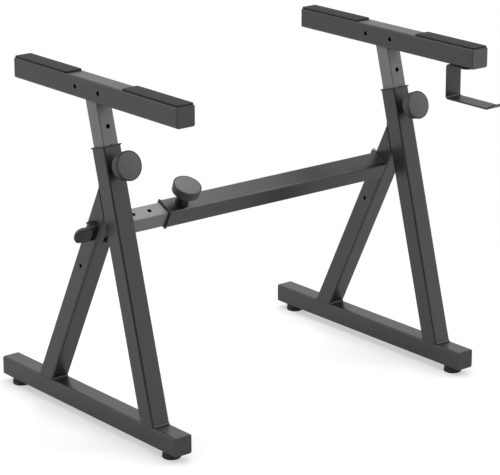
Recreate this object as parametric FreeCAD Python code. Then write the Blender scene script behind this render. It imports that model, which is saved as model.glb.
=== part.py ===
"""Folding keyboard stand: two welded side frames, a telescoping crossbar and two height-adjustable arms.

Axes: +X to the player's right, +Y away from the player, +Z up, millimetres. The origin is on the floor,
in the middle of the stand's outline. Three slanted frames are used inside the model:
    leg frame      x, n (square to the rear leg, towards the rear), u (up along the rear leg)
    upright frame  x, m (square to the upright, towards the rear), v (up along the upright)
    lock frame     local z points out of the tube wall that the spring lock stands on
"""
import FreeCAD, Part
import math
import os

Vector = FreeCAD.Vector

# ---------------------------------------------------------------- side frames
TUBE = 40.0                 # outer width of the square frame tubes
TUBE_WALL = 1.6
TUBE_CORNER = 4.0           # outer corner radius of the frame tubes
TRACK = 720.0               # centre of the left side frame to centre of the right one
BASE_LENGTH = 572.0         # along the floor, over both end caps
BASE_HEIGHT = 38.0          # the base tube is a little lower than it is wide
UPRIGHT_FRONT_Y = -220.0    # front face of the upright at the top of the base tube, from the base's middle
UPRIGHT_TILT = 15.2         # degrees, the top leans to the rear
UPRIGHT_LENGTH = 524.0      # along its axis, from the base tube to the open top
LEG_FRONT_Y = 112.0         # front face of the rear leg at the top of the base tube
LEG_TILT = 26.7             # degrees, the top leans to the front
LEG_HOLE_RADIUS = 4.25      # cross hole through the rear leg
LEG_HOLE_DROP = 90.0        # below the crossbar's axis, along the leg
WELD_SIZE = 4.5             # leg of the fillet weld beads
WELD_INSET = 2.0            # the beads stop this far short of the tube's sides
ARM_WELD_SIZE = 3.0         # smaller beads under the arm, clear of the collar at the lowest height

# ---------------------------------------------------------------- feet and end caps
FOOT_HEIGHT = 14.0
FOOT_DIAMETER = 36.0
FOOT_TOP_DIAMETER = 33.0
FOOT_SETBACK = 36.0         # middle of each foot from its end of the base
FOOT_SOLE_CHAMFER = 1.5
FOOT_SCREW_RADIUS = 2.8
FOOT_SCREW_HEAD_RADIUS = 6.0
FOOT_SCREW_HEAD_HEIGHT = 3.5
FOOT_SCREW_RECESS = 6.0     # depth of the recess that keeps the screw head off the floor
FOOT_SCREW_REACH = 8.0      # into the base tube, past its lower wall
SCREW_CLEARANCE = 0.3       # radial, of every plain screw hole
CAP_THICKNESS = 3.0
CAP_PLUG_DEPTH = 12.0
CAP_PLUG_WALL = 2.0
CAP_CLEARANCE = 0.2         # between the plug and the tube's bore, each side

# ---------------------------------------------------------------- telescoping tubes
SLIDE_GAP = 1.4             # between outer and inner tube, each side, taken up by the collar's sleeve
INNER_WALL = 1.6
INNER_CORNER = 2.5
HOLE_PITCH = 38.0           # between the adjustment holes
HOLE_RADIUS = 4.5
LOCK_INSET = 39.0           # spring lock's axis below the open end of the outer tube
COLLAR_LIP = 2.4            # thickness of the collar's flange
COLLAR_PROUD = 1.2          # flange beyond the outer tube, each side
COLLAR_SLEEVE = 24.0        # length of the sleeve inside the outer tube
COLLAR_CLEARANCE = 0.25     # between the collar and the sliding tube, each side
HEIGHT_TUBE_BELOW = 300.0   # height tube inside the upright, below its open top
HEIGHT_HOLES_UP = 2         # adjustment holes above the one at the lock
HEIGHT_HOLES_DOWN = 5       # and below it

# ---------------------------------------------------------------- crossbar
CROSSBAR_HEIGHT = 394.7     # its axis above the floor
CROSSBAR_OUTER_LENGTH = 550.0
CROSSBAR_INNER_LENGTH = 450.0
CROSSBAR_HOLES_OUT = 3      # adjustment holes left of the one at the lock
CROSSBAR_HOLES_IN = 4       # and right of it
GLIDE_FLANGE = 3.0          # plastic glide on the inner tube's hidden end
GLIDE_PLUG = 14.0
GLIDE_CLEARANCE = 0.3       # between the glide and the outer tube's bore, each side

# ---------------------------------------------------------------- arms
ARM_LENGTH = 515.0          # over both end caps
ARM_FRONT_Y = -306.0        # front end of the arm at its stored height
ARM_TOP = 682.5             # upper face of the arm above the floor
ARM_HOLE_RADIUS = 4.5       # pair of cross holes through each arm
ARM_HOLE_SPACING = 73.0
ARM_HOLE_MIDDLE_Y = -30.0
PAD_THICKNESS = 3.0
PAD_SIDE_MARGIN = 1.5       # bare metal beside the pad
PAD_FRONT_LENGTH = 168.0
PAD_REAR_LENGTH = 173.0
PAD_CORNER = 4.0

# ---------------------------------------------------------------- spring locks with their round knobs
KNOB_DIAMETER = 57.0
KNOB_BASE_DIAMETER = 54.0   # at the lower edge of the grip band
KNOB_SKIRT_DIAMETER = 25.0  # where the undercut ends above the barrel
KNOB_FACE_HEIGHT = 44.0     # knob's face above the tube wall
KNOB_BAND = 18.0            # height of the grip band
KNOB_UNDERCUT = 5.5         # height of the conical undercut
KNOB_EDGE = 1.2             # chamfer round the face
KNOB_GAP = 0.4              # knob above the barrel
BARREL_DIAMETER = 22.0
BARREL_FOOT_DIAMETER = 27.0
BARREL_FOOT_HEIGHT = 3.0
BARREL_HEIGHT = 18.0
BARREL_NECK_RADIUS = 6.0    # through the tube wall
BARREL_END_WALL = 3.0
BARREL_CHAMBER_RADIUS = 7.0
PIN_RADIUS = 4.0
PIN_CLEARANCE = 0.2
PIN_TIP_GAP = 0.3           # tip short of the sliding tube
PIN_COLLAR_RADIUS = 6.4
PIN_COLLAR_HEIGHT = 2.0
PIN_KNOB_SEAT = 6.0         # the pin ends this far under the knob's face

# ---------------------------------------------------------------- fold hinges at the crossbar's ends
HINGE_GAP = 0.4             # between crossbar bracket and leg
BRACKET_PLATE = 4.0
BRACKET_PLUG = 14.0
BRACKET_PLUG_WALL = 3.0
HINGE_PIN_RADIUS = 2.5
HINGE_PIN_CLEARANCE = 0.1
HINGE_PIN_HEAD_RADIUS = 4.0
HINGE_PIN_HEAD = 1.5
KNUCKLE_RADIUS = 4.5
KNUCKLE_HALF = 6.6          # half length of the middle knuckle
KNUCKLE_GAP = 0.4           # between neighbouring knuckles
RIGHT_HINGE_OFFSET = 4.8    # hinge axis behind the leg's rear face
LEFT_HINGE_OFFSET = 10.0    # hinge axis in front of the leg's front face, clear of the crossbar's knob
LEAF_THICKNESS = 3.0
LEAF_NEAR = 5.5             # leaf's edge from the leg's inner face
LEAF_FAR = 15.5             # and its far edge
SLOT_WIDTH = 5.0            # slot in the left leg's front wall
SLOT_LENGTH = 13.0
SLOT_DROP = 12.0            # below the crossbar's axis

# ---------------------------------------------------------------- latches on the outer faces of the rear legs
LATCH_ENGAGED = 4.0         # pin tip past the leg's inner face
LATCH_HOLE_RADIUS = 5.0     # keeper hole in the crossbar bracket, wide enough for the pin to swing out
LATCH_PIN_RADIUS = 4.0
LATCH_PIN_CLEARANCE = 0.25
LATCH_COLLAR_RADIUS = 6.5
LATCH_COLLAR_AT = 6.0       # collar's near face from the leg's inner face
LATCH_COLLAR_THICK = 2.0
LATCH_NECK_RADIUS = 2.5
LATCH_NECK_START = 2.8      # out from the leg's outer face
LATCH_HEAD_START = 10.3
LATCH_HEAD_END = 12.5
LATCH_HEAD_RADIUS = 5.0
HOUSING_PLATE = 3.0
HOUSING_HEIGHT = 34.0       # along the leg
HOUSING_EAR = 4.0
HOUSING_DEPTH = 12.0        # out from the leg
HOUSING_FRONT = 12.6        # in front of the latch pin's axis
HOUSING_REAR = 9.0          # and behind it
HOUSING_CORNER = 3.0
LEVER_PIVOT_OUT = 7.5       # lever pin's axis out from the leg
LEVER_PIVOT_FORE = 8.0      # and in front of the latch pin: the crank that draws the pin
LEVER_PIN_RADIUS = 2.0
LEVER_PIN_CLEARANCE = 0.1
LEVER_HUB_RADIUS = 3.7
LEVER_EAR_GAP = 0.4
LEVER_SHOULDER_GAP = 2.3    # wing's shoulders past the ears, so that they pass in front when it swings
LEVER_REACH = 42.0          # tip of the wing out from the leg
LEVER_ROOT_THICKNESS = 7.0
LEVER_TIP_THICKNESS = 4.5
LEVER_TIP_SWEEP = 5.5       # the tip curls to the rear
LEVER_TOP = 17.0
LEVER_BOTTOM = 16.0
FINGER_THICKNESS = 3.0
FINGER_REACH = 9.5          # from the lever pin's axis
FINGER_WIDTH = 12.0
FINGER_SLOT = 6.4
FINGER_SLOT_START = 4.5

# ---------------------------------------------------------------- hanger under the front of the right arm
HANGER_WIDTH = 38.0
HANGER_THICKNESS = 3.0
HANGER_FLANGE_FRONT_Y = -289.0
HANGER_BACK_Y = -231.0      # rear face of the upright strap
HANGER_BOLT_Y = -262.0
HANGER_DROP = 72.0          # from the arm's underside to the lower face of the tray
HANGER_TRAY = 115.0         # tray's length forward of the upright strap
HANGER_LIP = 20.0
HANGER_LIP_RISE = 29.0      # degrees
HANGER_BEND = 5.0           # bend radius at the middle of the strap
HANGER_NOSE = 14.0          # corner radius of the flange's free end
HANGER_LIP_CORNER = 4.0
HANGER_WASHER = 1.0         # spacer between arm and flange
HANGER_WASHER_RADIUS = 9.0
HANGER_BOLT_RADIUS = 3.0
HANGER_BOLT_HEAD_RADIUS = 6.5
HANGER_BOLT_HEAD = 4.0
HANGER_BOLT_REACH = 9.0     # above the arm's underside
HANGER_CLEARANCE = 0.3

# ---------------------------------------------------------------- worked out from the sizes above
BASE_TOP = FOOT_HEIGHT + BASE_HEIGHT
FOOT_Y = BASE_LENGTH / 2 - FOOT_SETBACK
INNER_FACE = TRACK / 2 - TUBE / 2
OUTER_FACE = TRACK / 2 + TUBE / 2
INNER_TUBE = TUBE - 2 * (TUBE_WALL + SLIDE_GAP)
BORE = TUBE - 2 * TUBE_WALL
HALF_TUBE = TUBE / 2
LEG_ANGLE = math.radians(LEG_TILT)
UPRIGHT_ANGLE = math.radians(UPRIGHT_TILT)
LEG_FOOT_Y = LEG_FRONT_Y + HALF_TUBE / math.cos(LEG_ANGLE)
CROSSBAR_Y = LEG_FOOT_Y - (CROSSBAR_HEIGHT - BASE_TOP) * math.tan(LEG_ANGLE)
UPRIGHT_FOOT_Y = UPRIGHT_FRONT_Y + HALF_TUBE / math.cos(UPRIGHT_ANGLE)
ARM_BOTTOM = ARM_TOP - TUBE
LOCK_HEIGHT = UPRIGHT_LENGTH - LOCK_INSET
CROSSBAR_RIGHT_END = INNER_FACE - HINGE_GAP - BRACKET_PLATE
CROSSBAR_OPEN_END = CROSSBAR_RIGHT_END - CROSSBAR_OUTER_LENGTH
CROSSBAR_LOCK_X = CROSSBAR_OPEN_END + LOCK_INSET
CROSSBAR_LEFT_END = -CROSSBAR_RIGHT_END
RIGHT_HINGE_N = HALF_TUBE + RIGHT_HINGE_OFFSET
LEFT_HINGE_N = -HALF_TUBE - LEFT_HINGE_OFFSET
HANGER_TIP_Y = (HANGER_BACK_Y - HANGER_TRAY
                - (HANGER_LIP * math.cos(math.radians(HANGER_LIP_RISE))
                   + HANGER_THICKNESS / 2 * math.sin(math.radians(HANGER_LIP_RISE))))
MIDDLE_Y = (HANGER_TIP_Y + BASE_LENGTH / 2) / 2
BIG = 2000.0                # longer than the stand, for half-space cutters

X_AXIS = Vector(1, 0, 0)
Y_AXIS = Vector(0, 1, 0)
Z_AXIS = Vector(0, 0, 1)
LEG_PLACE = FreeCAD.Placement(Vector(0, CROSSBAR_Y, CROSSBAR_HEIGHT), FreeCAD.Rotation(X_AXIS, LEG_TILT))
UPRIGHT_PLACE = FreeCAD.Placement(Vector(0, UPRIGHT_FOOT_Y, BASE_TOP), FreeCAD.Rotation(X_AXIS, -UPRIGHT_TILT))
TO_CENTRE = Vector(0, -MIDDLE_Y, 0)


# ---------------------------------------------------------------- shared shapes
def moved(shape, placement):
    """Copy of the shape with the placement applied on top of its own."""
    copy = shape.copy()
    copy.Placement = placement.multiply(copy.Placement)
    return copy


def box(x0, x1, y0, y1, z0, z1):
    """Box between two opposite corners, given axis by axis."""
    return Part.makeBox(x1 - x0, y1 - y0, z1 - z0, Vector(x0, y0, z0))


def rounded_outline(width, depth, radius):
    """Closed rounded rectangle in the XY plane, centred on the origin."""
    half_x = width / 2 - radius
    half_y = depth / 2 - radius
    centres = [(half_x, half_y), (-half_x, half_y), (-half_x, -half_y), (half_x, -half_y)]
    arcs = []
    for turn, (x, y) in enumerate(centres):
        circle = Part.Circle(Vector(x, y, 0), Z_AXIS, radius)
        arcs.append(Part.ArcOfCircle(circle, turn * math.pi / 2, (turn + 1) * math.pi / 2).toShape())
    edges = []
    for arc, following in zip(arcs, arcs[1:] + arcs[:1]):
        edges.append(arc)
        edges.append(Part.makeLine(arc.Vertexes[-1].Point, following.Vertexes[0].Point))
    return Part.Wire(edges)


def rounded_bar(width, depth, radius, length):
    """Solid bar of rounded rectangular section, up +Z from the XY plane."""
    return Part.Face(rounded_outline(width, depth, radius)).extrude(Vector(0, 0, length))


def square_tube(width, depth, wall, corner, length):
    """Tube of rounded rectangular section, up +Z from the XY plane."""
    inner_corner = max(corner - wall, corner / 4)
    bore = rounded_bar(width - 2 * wall, depth - 2 * wall, inner_corner, length)
    return rounded_bar(width, depth, corner, length).cut(bore)


def along_x(shape):
    """Shape drawn up +Z, laid along +X."""
    copy = shape.copy()
    copy.rotate(Vector(0, 0, 0), Y_AXIS, 90)
    return copy


def along_y(shape):
    """Shape drawn up +Z, laid along +Y."""
    copy = shape.copy()
    copy.rotate(Vector(0, 0, 0), X_AXIS, -90)
    return copy


def shifted(shape, x=0.0, y=0.0, z=0.0):
    """Copy of the shape moved by the given distances."""
    copy = shape.copy()
    copy.translate(Vector(x, y, z))
    return copy


def turned(profile):
    """Solid of revolution about Z, from (radius, height) points."""
    points = [Vector(radius, 0, height) for radius, height in profile]
    face = Part.Face(Part.makePolygon(points + points[:1]))
    return face.revolve(Vector(0, 0, 0), Z_AXIS, 360)


def cross_hole(radius, y, z):
    """Cutter along X through everything."""
    return Part.makeCylinder(radius, 2 * BIG, Vector(-BIG, y, z), X_AXIS)


def mirrored(shape):
    """The same piece on the left side."""
    return shape.mirror(Vector(0, 0, 0), X_AXIS)


def group(solids):
    """Several separate solids that share one node."""
    return Part.Compound(solids)


# ---------------------------------------------------------------- side frame
def base_tube():
    """Floor tube of the right frame, with holes for the foot screws."""
    length = BASE_LENGTH - 2 * CAP_THICKNESS
    tube = along_y(square_tube(TUBE, BASE_HEIGHT, TUBE_WALL, TUBE_CORNER, length))
    tube = shifted(tube, TRACK / 2, -length / 2, FOOT_HEIGHT + BASE_HEIGHT / 2)
    for y in (-FOOT_Y, FOOT_Y):
        hole = Part.makeCylinder(FOOT_SCREW_RADIUS + SCREW_CLEARANCE, 2 * TUBE_WALL,
                                 Vector(TRACK / 2, y, FOOT_HEIGHT - TUBE_WALL / 2))
        tube = tube.cut(hole)
    return tube


def upright():
    """Slanted front tube: foot cut level on the base tube, top open, lock hole in its front wall."""
    below = TUBE
    tube = shifted(square_tube(TUBE, TUBE, TUBE_WALL, TUBE_CORNER, UPRIGHT_LENGTH + below), TRACK / 2, 0, -below)
    lock_hole = Part.makeCylinder(BARREL_NECK_RADIUS, 2 * TUBE_WALL,
                                  Vector(TRACK / 2, -HALF_TUBE - TUBE_WALL / 2, LOCK_HEIGHT), Y_AXIS)
    tube = moved(tube.cut(lock_hole), UPRIGHT_PLACE)
    return tube.cut(box(-BIG, BIG, -BIG, BIG, -BIG, BASE_TOP))


def rear_leg(front_slot):
    """Slanted rear tube: foot cut level, head mitred against the upright, holes for latch and hooks."""
    tube = shifted(square_tube(TUBE, TUBE, TUBE_WALL, TUBE_CORNER, BIG), TRACK / 2, 0, -BIG / 2)
    tube = tube.cut(Part.makeCylinder(LATCH_PIN_RADIUS + LATCH_PIN_CLEARANCE, 2 * TUBE,
                                      Vector(TRACK / 2 - TUBE, 0, 0), X_AXIS))
    tube = tube.cut(cross_hole(LEG_HOLE_RADIUS, 0, -LEG_HOLE_DROP))
    if front_slot:
        tube = tube.cut(leg_slot())
    tube = moved(tube, LEG_PLACE).cut(box(-BIG, BIG, -BIG, BIG, -BIG, BASE_TOP))
    in_front = moved(box(-BIG, BIG, -BIG, HALF_TUBE, -BIG, BIG), UPRIGHT_PLACE)
    return tube.cut(in_front)


def weld_bead(corner, along_plate, along_tube, width, size=WELD_SIZE):
    """Fillet bead in the corner between a plate and a tube, across X, its face slightly hollow."""
    toe = corner + along_plate * size
    head = corner + along_tube * size
    throat = corner + (along_plate + along_tube) * (size * 0.42)
    face = Part.Face(Part.Wire([Part.makeLine(corner, toe), Part.Arc(toe, throat, head).toShape(),
                                Part.makeLine(head, corner)]))
    bead = face.extrude(Vector(width, 0, 0))
    return shifted(bead, TRACK / 2 - width / 2)


def frame_welds():
    """Beads at the feet of upright and leg, and where the leg's head meets the upright."""
    width = TUBE - 2 * WELD_INSET
    up = Vector(0, math.sin(UPRIGHT_ANGLE), math.cos(UPRIGHT_ANGLE))
    leg_up = Vector(0, -math.sin(LEG_ANGLE), math.cos(LEG_ANGLE))
    front = Vector(0, -1, 0)
    rear = Vector(0, 1, 0)
    upright_half = HALF_TUBE / math.cos(UPRIGHT_ANGLE)
    leg_half = HALF_TUBE / math.cos(LEG_ANGLE)
    beads = [
        weld_bead(Vector(0, UPRIGHT_FOOT_Y - upright_half, BASE_TOP), front, up, width),
        weld_bead(Vector(0, UPRIGHT_FOOT_Y + upright_half, BASE_TOP), rear, up, width),
        weld_bead(Vector(0, LEG_FOOT_Y - leg_half, BASE_TOP), front, leg_up, width),
        weld_bead(Vector(0, LEG_FOOT_Y + leg_half, BASE_TOP), rear, leg_up, width),
        weld_bead(leg_head(-1), -up, -leg_up, width),
        weld_bead(leg_head(1), up, -leg_up, width),
    ]
    return group(beads)


def leg_head(side):
    """Point where the leg's front (-1) or rear (1) face meets the upright's rear face, in the middle plane."""
    leg_offset = side * HALF_TUBE / math.cos(LEG_ANGLE)
    upright_offset = HALF_TUBE / math.cos(UPRIGHT_ANGLE)
    closing = math.tan(LEG_ANGLE) + math.tan(UPRIGHT_ANGLE)
    rise = (LEG_FOOT_Y + leg_offset - UPRIGHT_FOOT_Y - upright_offset) / closing
    return Vector(0, UPRIGHT_FOOT_Y + upright_offset + rise * math.tan(UPRIGHT_ANGLE), BASE_TOP + rise)


def end_cap(width, depth):
    """Plastic cap: a plate as wide as the tube and a hollow plug, plate at z 0 to its thickness."""
    bore_w = width - 2 * TUBE_WALL - 2 * CAP_CLEARANCE
    bore_d = depth - 2 * TUBE_WALL - 2 * CAP_CLEARANCE
    corner = TUBE_CORNER / 2
    plate = rounded_bar(width, depth, TUBE_CORNER, CAP_THICKNESS)
    edge = [line for line in plate.Edges if abs(line.CenterOfMass.z - CAP_THICKNESS) < CAP_THICKNESS / 100]
    plate = plate.makeChamfer(CAP_THICKNESS / 5, edge)
    plug = square_tube(bore_w, bore_d, CAP_PLUG_WALL, corner, CAP_PLUG_DEPTH)
    return plate.fuse(shifted(plug, 0, 0, -CAP_PLUG_DEPTH)).removeSplitter()


def end_caps(height, centre_z, front_y, rear_y):
    """Both caps of a tube that lies along Y, plugs inwards."""
    cap = end_cap(TUBE, height)
    rear = shifted(along_y(cap), TRACK / 2, rear_y - CAP_THICKNESS, centre_z)
    front = cap.copy()
    front.rotate(Vector(0, 0, 0), X_AXIS, 90)
    front = shifted(front, TRACK / 2, front_y + CAP_THICKNESS, centre_z)
    return group([front, rear])


def foot():
    """Round rubber foot with a recess for its screw."""
    bore = FOOT_SCREW_RADIUS + SCREW_CLEARANCE
    recess = FOOT_SCREW_HEAD_RADIUS + SCREW_CLEARANCE
    sole = FOOT_DIAMETER / 2
    return turned([(recess, 0), (sole - FOOT_SOLE_CHAMFER, 0), (sole, FOOT_SOLE_CHAMFER),
                   (FOOT_TOP_DIAMETER / 2, FOOT_HEIGHT), (bore, FOOT_HEIGHT), (bore, FOOT_SCREW_RECESS),
                   (recess, FOOT_SCREW_RECESS)])


def foot_screw():
    """Pan-head screw, head against the recess, shank through the tube's lower wall."""
    seat = FOOT_SCREW_RECESS
    head = FOOT_SCREW_HEAD_HEIGHT
    return turned([(0, seat - head), (FOOT_SCREW_HEAD_RADIUS * 0.7, seat - head),
                   (FOOT_SCREW_HEAD_RADIUS, seat - head * 0.6), (FOOT_SCREW_HEAD_RADIUS, seat),
                   (FOOT_SCREW_RADIUS, seat), (FOOT_SCREW_RADIUS, FOOT_HEIGHT + TUBE_WALL + FOOT_SCREW_REACH),
                   (0, FOOT_HEIGHT + TUBE_WALL + FOOT_SCREW_REACH)])


def at_both_feet(piece):
    """The piece at the front and the rear foot."""
    return group([shifted(piece, TRACK / 2, y, 0) for y in (-FOOT_Y, FOOT_Y)])


# ---------------------------------------------------------------- telescoping parts
def collar():
    """Plastic collar in the open end of an outer tube, end at z 0, flange above it."""
    opening = INNER_TUBE + 2 * COLLAR_CLEARANCE
    opening_corner = INNER_CORNER + COLLAR_CLEARANCE
    flange = rounded_bar(TUBE + 2 * COLLAR_PROUD, TUBE + 2 * COLLAR_PROUD, TUBE_CORNER / 2, COLLAR_LIP)
    sleeve_corner = max(TUBE_CORNER - TUBE_WALL, TUBE_CORNER / 4)
    sleeve = shifted(rounded_bar(BORE, BORE, sleeve_corner, COLLAR_SLEEVE), 0, 0, -COLLAR_SLEEVE)
    opening_bar = shifted(rounded_bar(opening, opening, opening_corner, COLLAR_SLEEVE + COLLAR_LIP),
                          0, 0, -COLLAR_SLEEVE)
    return flange.fuse(sleeve).cut(opening_bar).removeSplitter()


def inner_tube(length, hole_heights, hole_direction):
    """Sliding tube up +Z with a row of adjustment holes in one wall."""
    tube = square_tube(INNER_TUBE, INNER_TUBE, INNER_WALL, INNER_CORNER, length)
    for height in hole_heights:
        tube = tube.cut(Part.makeCylinder(HOLE_RADIUS, INNER_TUBE, Vector(0, 0, height), hole_direction))
    return tube


def height_tube():
    """Tube that carries the arm, holes facing the front, head cut level under the arm."""
    start = UPRIGHT_LENGTH - HEIGHT_TUBE_BELOW
    length = (ARM_TOP - BASE_TOP) / math.cos(UPRIGHT_ANGLE) - start + TUBE
    steps = range(-HEIGHT_HOLES_DOWN, HEIGHT_HOLES_UP + 1)
    holes = [LOCK_HEIGHT - start + step * HOLE_PITCH for step in steps]
    tube = shifted(inner_tube(length, holes, -Y_AXIS), TRACK / 2, 0, start)
    return moved(tube, UPRIGHT_PLACE).cut(box(-BIG, BIG, -BIG, BIG, ARM_BOTTOM, BIG))


def arm(has_hanger):
    """Level tube that the keyboard rests over."""
    length = ARM_LENGTH - 2 * CAP_THICKNESS
    tube = along_y(square_tube(TUBE, TUBE, TUBE_WALL, TUBE_CORNER, length))
    tube = shifted(tube, TRACK / 2, ARM_FRONT_Y + CAP_THICKNESS, ARM_TOP - HALF_TUBE)
    for side in (-1, 1):
        y = ARM_HOLE_MIDDLE_Y + side * ARM_HOLE_SPACING / 2
        tube = tube.cut(cross_hole(ARM_HOLE_RADIUS, y, ARM_TOP - HALF_TUBE))
    if has_hanger:
        tube = tube.cut(Part.makeCylinder(HANGER_BOLT_RADIUS, 2 * TUBE_WALL,
                                          Vector(TRACK / 2, HANGER_BOLT_Y, ARM_BOTTOM - TUBE_WALL / 2)))
    return tube


def arm_weld():
    """Beads in front of and behind the height tube, under the arm."""
    width = INNER_TUBE - 2 * WELD_INSET
    down = -Vector(0, math.sin(UPRIGHT_ANGLE), math.cos(UPRIGHT_ANGLE))
    half = INNER_TUBE / 2 / math.cos(UPRIGHT_ANGLE)
    middle = UPRIGHT_FOOT_Y + (ARM_BOTTOM - BASE_TOP) * math.tan(UPRIGHT_ANGLE)
    return group([weld_bead(Vector(0, middle - half, ARM_BOTTOM), Vector(0, -1, 0), down, width, ARM_WELD_SIZE),
                  weld_bead(Vector(0, middle + half, ARM_BOTTOM), Vector(0, 1, 0), down, width, ARM_WELD_SIZE)])


def arm_pads():
    """Two grip strips on the arm, flush with its ends, bare metal between them."""
    width = TUBE - 2 * PAD_SIDE_MARGIN
    pads = []
    for length, start in ((PAD_FRONT_LENGTH, ARM_FRONT_Y),
                          (PAD_REAR_LENGTH, ARM_FRONT_Y + ARM_LENGTH - PAD_REAR_LENGTH)):
        pad = rounded_bar(width, length, PAD_CORNER, PAD_THICKNESS)
        top = [edge for edge in pad.Edges if abs(edge.CenterOfMass.z - PAD_THICKNESS) < PAD_THICKNESS / 100]
        pad = pad.makeChamfer(PAD_THICKNESS / 4, top)
        pads.append(shifted(pad, TRACK / 2, start + length / 2, ARM_TOP))
    return group(pads)


# ---------------------------------------------------------------- spring lock, wall at z 0, knob up +Z
def lock_barrel():
    """Flanged barrel screwed through the tube wall, hollow for pin and spring."""
    bore = PIN_RADIUS + PIN_CLEARANCE
    floor = BARREL_FOOT_HEIGHT + PIN_CLEARANCE
    chamber_top = BARREL_HEIGHT - BARREL_END_WALL
    outer = BARREL_DIAMETER / 2
    return turned([(bore, -TUBE_WALL), (BARREL_NECK_RADIUS, -TUBE_WALL), (BARREL_NECK_RADIUS, 0),
                   (BARREL_FOOT_DIAMETER / 2, 0), (BARREL_FOOT_DIAMETER / 2, BARREL_FOOT_HEIGHT),
                   (outer, BARREL_FOOT_HEIGHT), (outer, BARREL_HEIGHT), (bore, BARREL_HEIGHT),
                   (bore, chamber_top), (BARREL_CHAMBER_RADIUS, chamber_top),
                   (BARREL_CHAMBER_RADIUS, floor), (bore, floor)])


def lock_pin():
    """Plunger: chamfered tip short of the sliding tube, spring collar, end seated in the knob."""
    tip = -(TUBE_WALL + SLIDE_GAP) + PIN_TIP_GAP
    collar_low = BARREL_FOOT_HEIGHT + 2 * PIN_CLEARANCE
    collar_high = collar_low + PIN_COLLAR_HEIGHT
    end = KNOB_FACE_HEIGHT - PIN_KNOB_SEAT
    chamfer = PIN_RADIUS / 4
    return turned([(0, tip), (PIN_RADIUS - chamfer, tip), (PIN_RADIUS, tip + chamfer), (PIN_RADIUS, collar_low),
                   (PIN_COLLAR_RADIUS, collar_low), (PIN_COLLAR_RADIUS, collar_high), (PIN_RADIUS, collar_high),
                   (PIN_RADIUS, end), (0, end)])


def lock_spring():
    """Envelope of the compression spring between the pin's collar and the barrel's end wall."""
    low = BARREL_FOOT_HEIGHT + 2 * PIN_CLEARANCE + PIN_COLLAR_HEIGHT
    high = BARREL_HEIGHT - BARREL_END_WALL
    inner = PIN_RADIUS + PIN_CLEARANCE
    return turned([(inner, low), (PIN_COLLAR_RADIUS, low), (PIN_COLLAR_RADIUS, high), (inner, high)])


def lock_knob():
    """Round pull knob: flat face, drafted grip band, conical undercut for the fingers."""
    low = BARREL_HEIGHT + KNOB_GAP
    band_low = KNOB_FACE_HEIGHT - KNOB_BAND
    undercut_low = band_low - KNOB_UNDERCUT
    face = KNOB_DIAMETER / 2
    seat = KNOB_FACE_HEIGHT - PIN_KNOB_SEAT
    skirt = KNOB_SKIRT_DIAMETER / 2
    return turned([(PIN_RADIUS, low), (skirt, low), (skirt, undercut_low), (KNOB_BASE_DIAMETER / 2, band_low),
                   (face, KNOB_FACE_HEIGHT - KNOB_EDGE), (face - KNOB_EDGE, KNOB_FACE_HEIGHT),
                   (0, KNOB_FACE_HEIGHT), (0, seat), (PIN_RADIUS, seat)])


def on_upright(piece):
    """Spring lock piece on the front wall of the right upright."""
    copy = piece.copy()
    copy.rotate(Vector(0, 0, 0), X_AXIS, 90)
    return moved(shifted(copy, TRACK / 2, -HALF_TUBE, LOCK_HEIGHT), UPRIGHT_PLACE)


def on_crossbar(piece):
    """Spring lock piece on the upper wall of the crossbar."""
    return moved(shifted(piece, CROSSBAR_LOCK_X, 0, HALF_TUBE), LEG_PLACE)


# ---------------------------------------------------------------- crossbar
def crossbar_outer_tube():
    """Outer tube from the right bracket to the open end, lock hole in its upper wall."""
    tube = along_x(square_tube(TUBE, TUBE, TUBE_WALL, TUBE_CORNER, CROSSBAR_OUTER_LENGTH))
    tube = shifted(tube, CROSSBAR_OPEN_END)
    hole = Part.makeCylinder(BARREL_NECK_RADIUS, 2 * TUBE_WALL,
                             Vector(CROSSBAR_LOCK_X, 0, HALF_TUBE - 1.5 * TUBE_WALL))
    return moved(tube.cut(hole), LEG_PLACE)


def crossbar_inner_tube():
    """Sliding tube from the left bracket into the outer tube, holes in its upper wall."""
    steps = range(-CROSSBAR_HOLES_OUT, CROSSBAR_HOLES_IN + 1)
    holes = [CROSSBAR_LOCK_X - CROSSBAR_LEFT_END + step * HOLE_PITCH for step in steps]
    tube = inner_tube(CROSSBAR_INNER_LENGTH, holes, -X_AXIS)
    return moved(shifted(along_x(tube), CROSSBAR_LEFT_END), LEG_PLACE)


def crossbar_collar():
    """Collar in the crossbar's open end, flange facing left."""
    piece = collar()
    piece.rotate(Vector(0, 0, 0), Y_AXIS, -90)
    return moved(shifted(piece, CROSSBAR_OPEN_END), LEG_PLACE)


def crossbar_glide():
    """Plastic glide that keeps the inner tube's hidden end centred."""
    width = BORE - 2 * GLIDE_CLEARANCE
    plug_width = INNER_TUBE - 2 * INNER_WALL - 2 * CAP_CLEARANCE
    flange = rounded_bar(width, width, TUBE_CORNER - TUBE_WALL + GLIDE_CLEARANCE, GLIDE_FLANGE)
    plug = square_tube(plug_width, plug_width, CAP_PLUG_WALL, INNER_CORNER / 2, GLIDE_PLUG)
    glide = flange.fuse(shifted(plug, 0, 0, -GLIDE_PLUG)).removeSplitter()
    return moved(shifted(along_x(glide), CROSSBAR_LEFT_END + CROSSBAR_INNER_LENGTH), LEG_PLACE)


# ---------------------------------------------------------------- fold hinges, in the leg frame
def knuckle(axis_x, axis_n, low, high):
    """One barrel of the hinge, with the pin's bore still closed."""
    return Part.makeCylinder(KNUCKLE_RADIUS, high - low, Vector(axis_x, axis_n, low))


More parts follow.
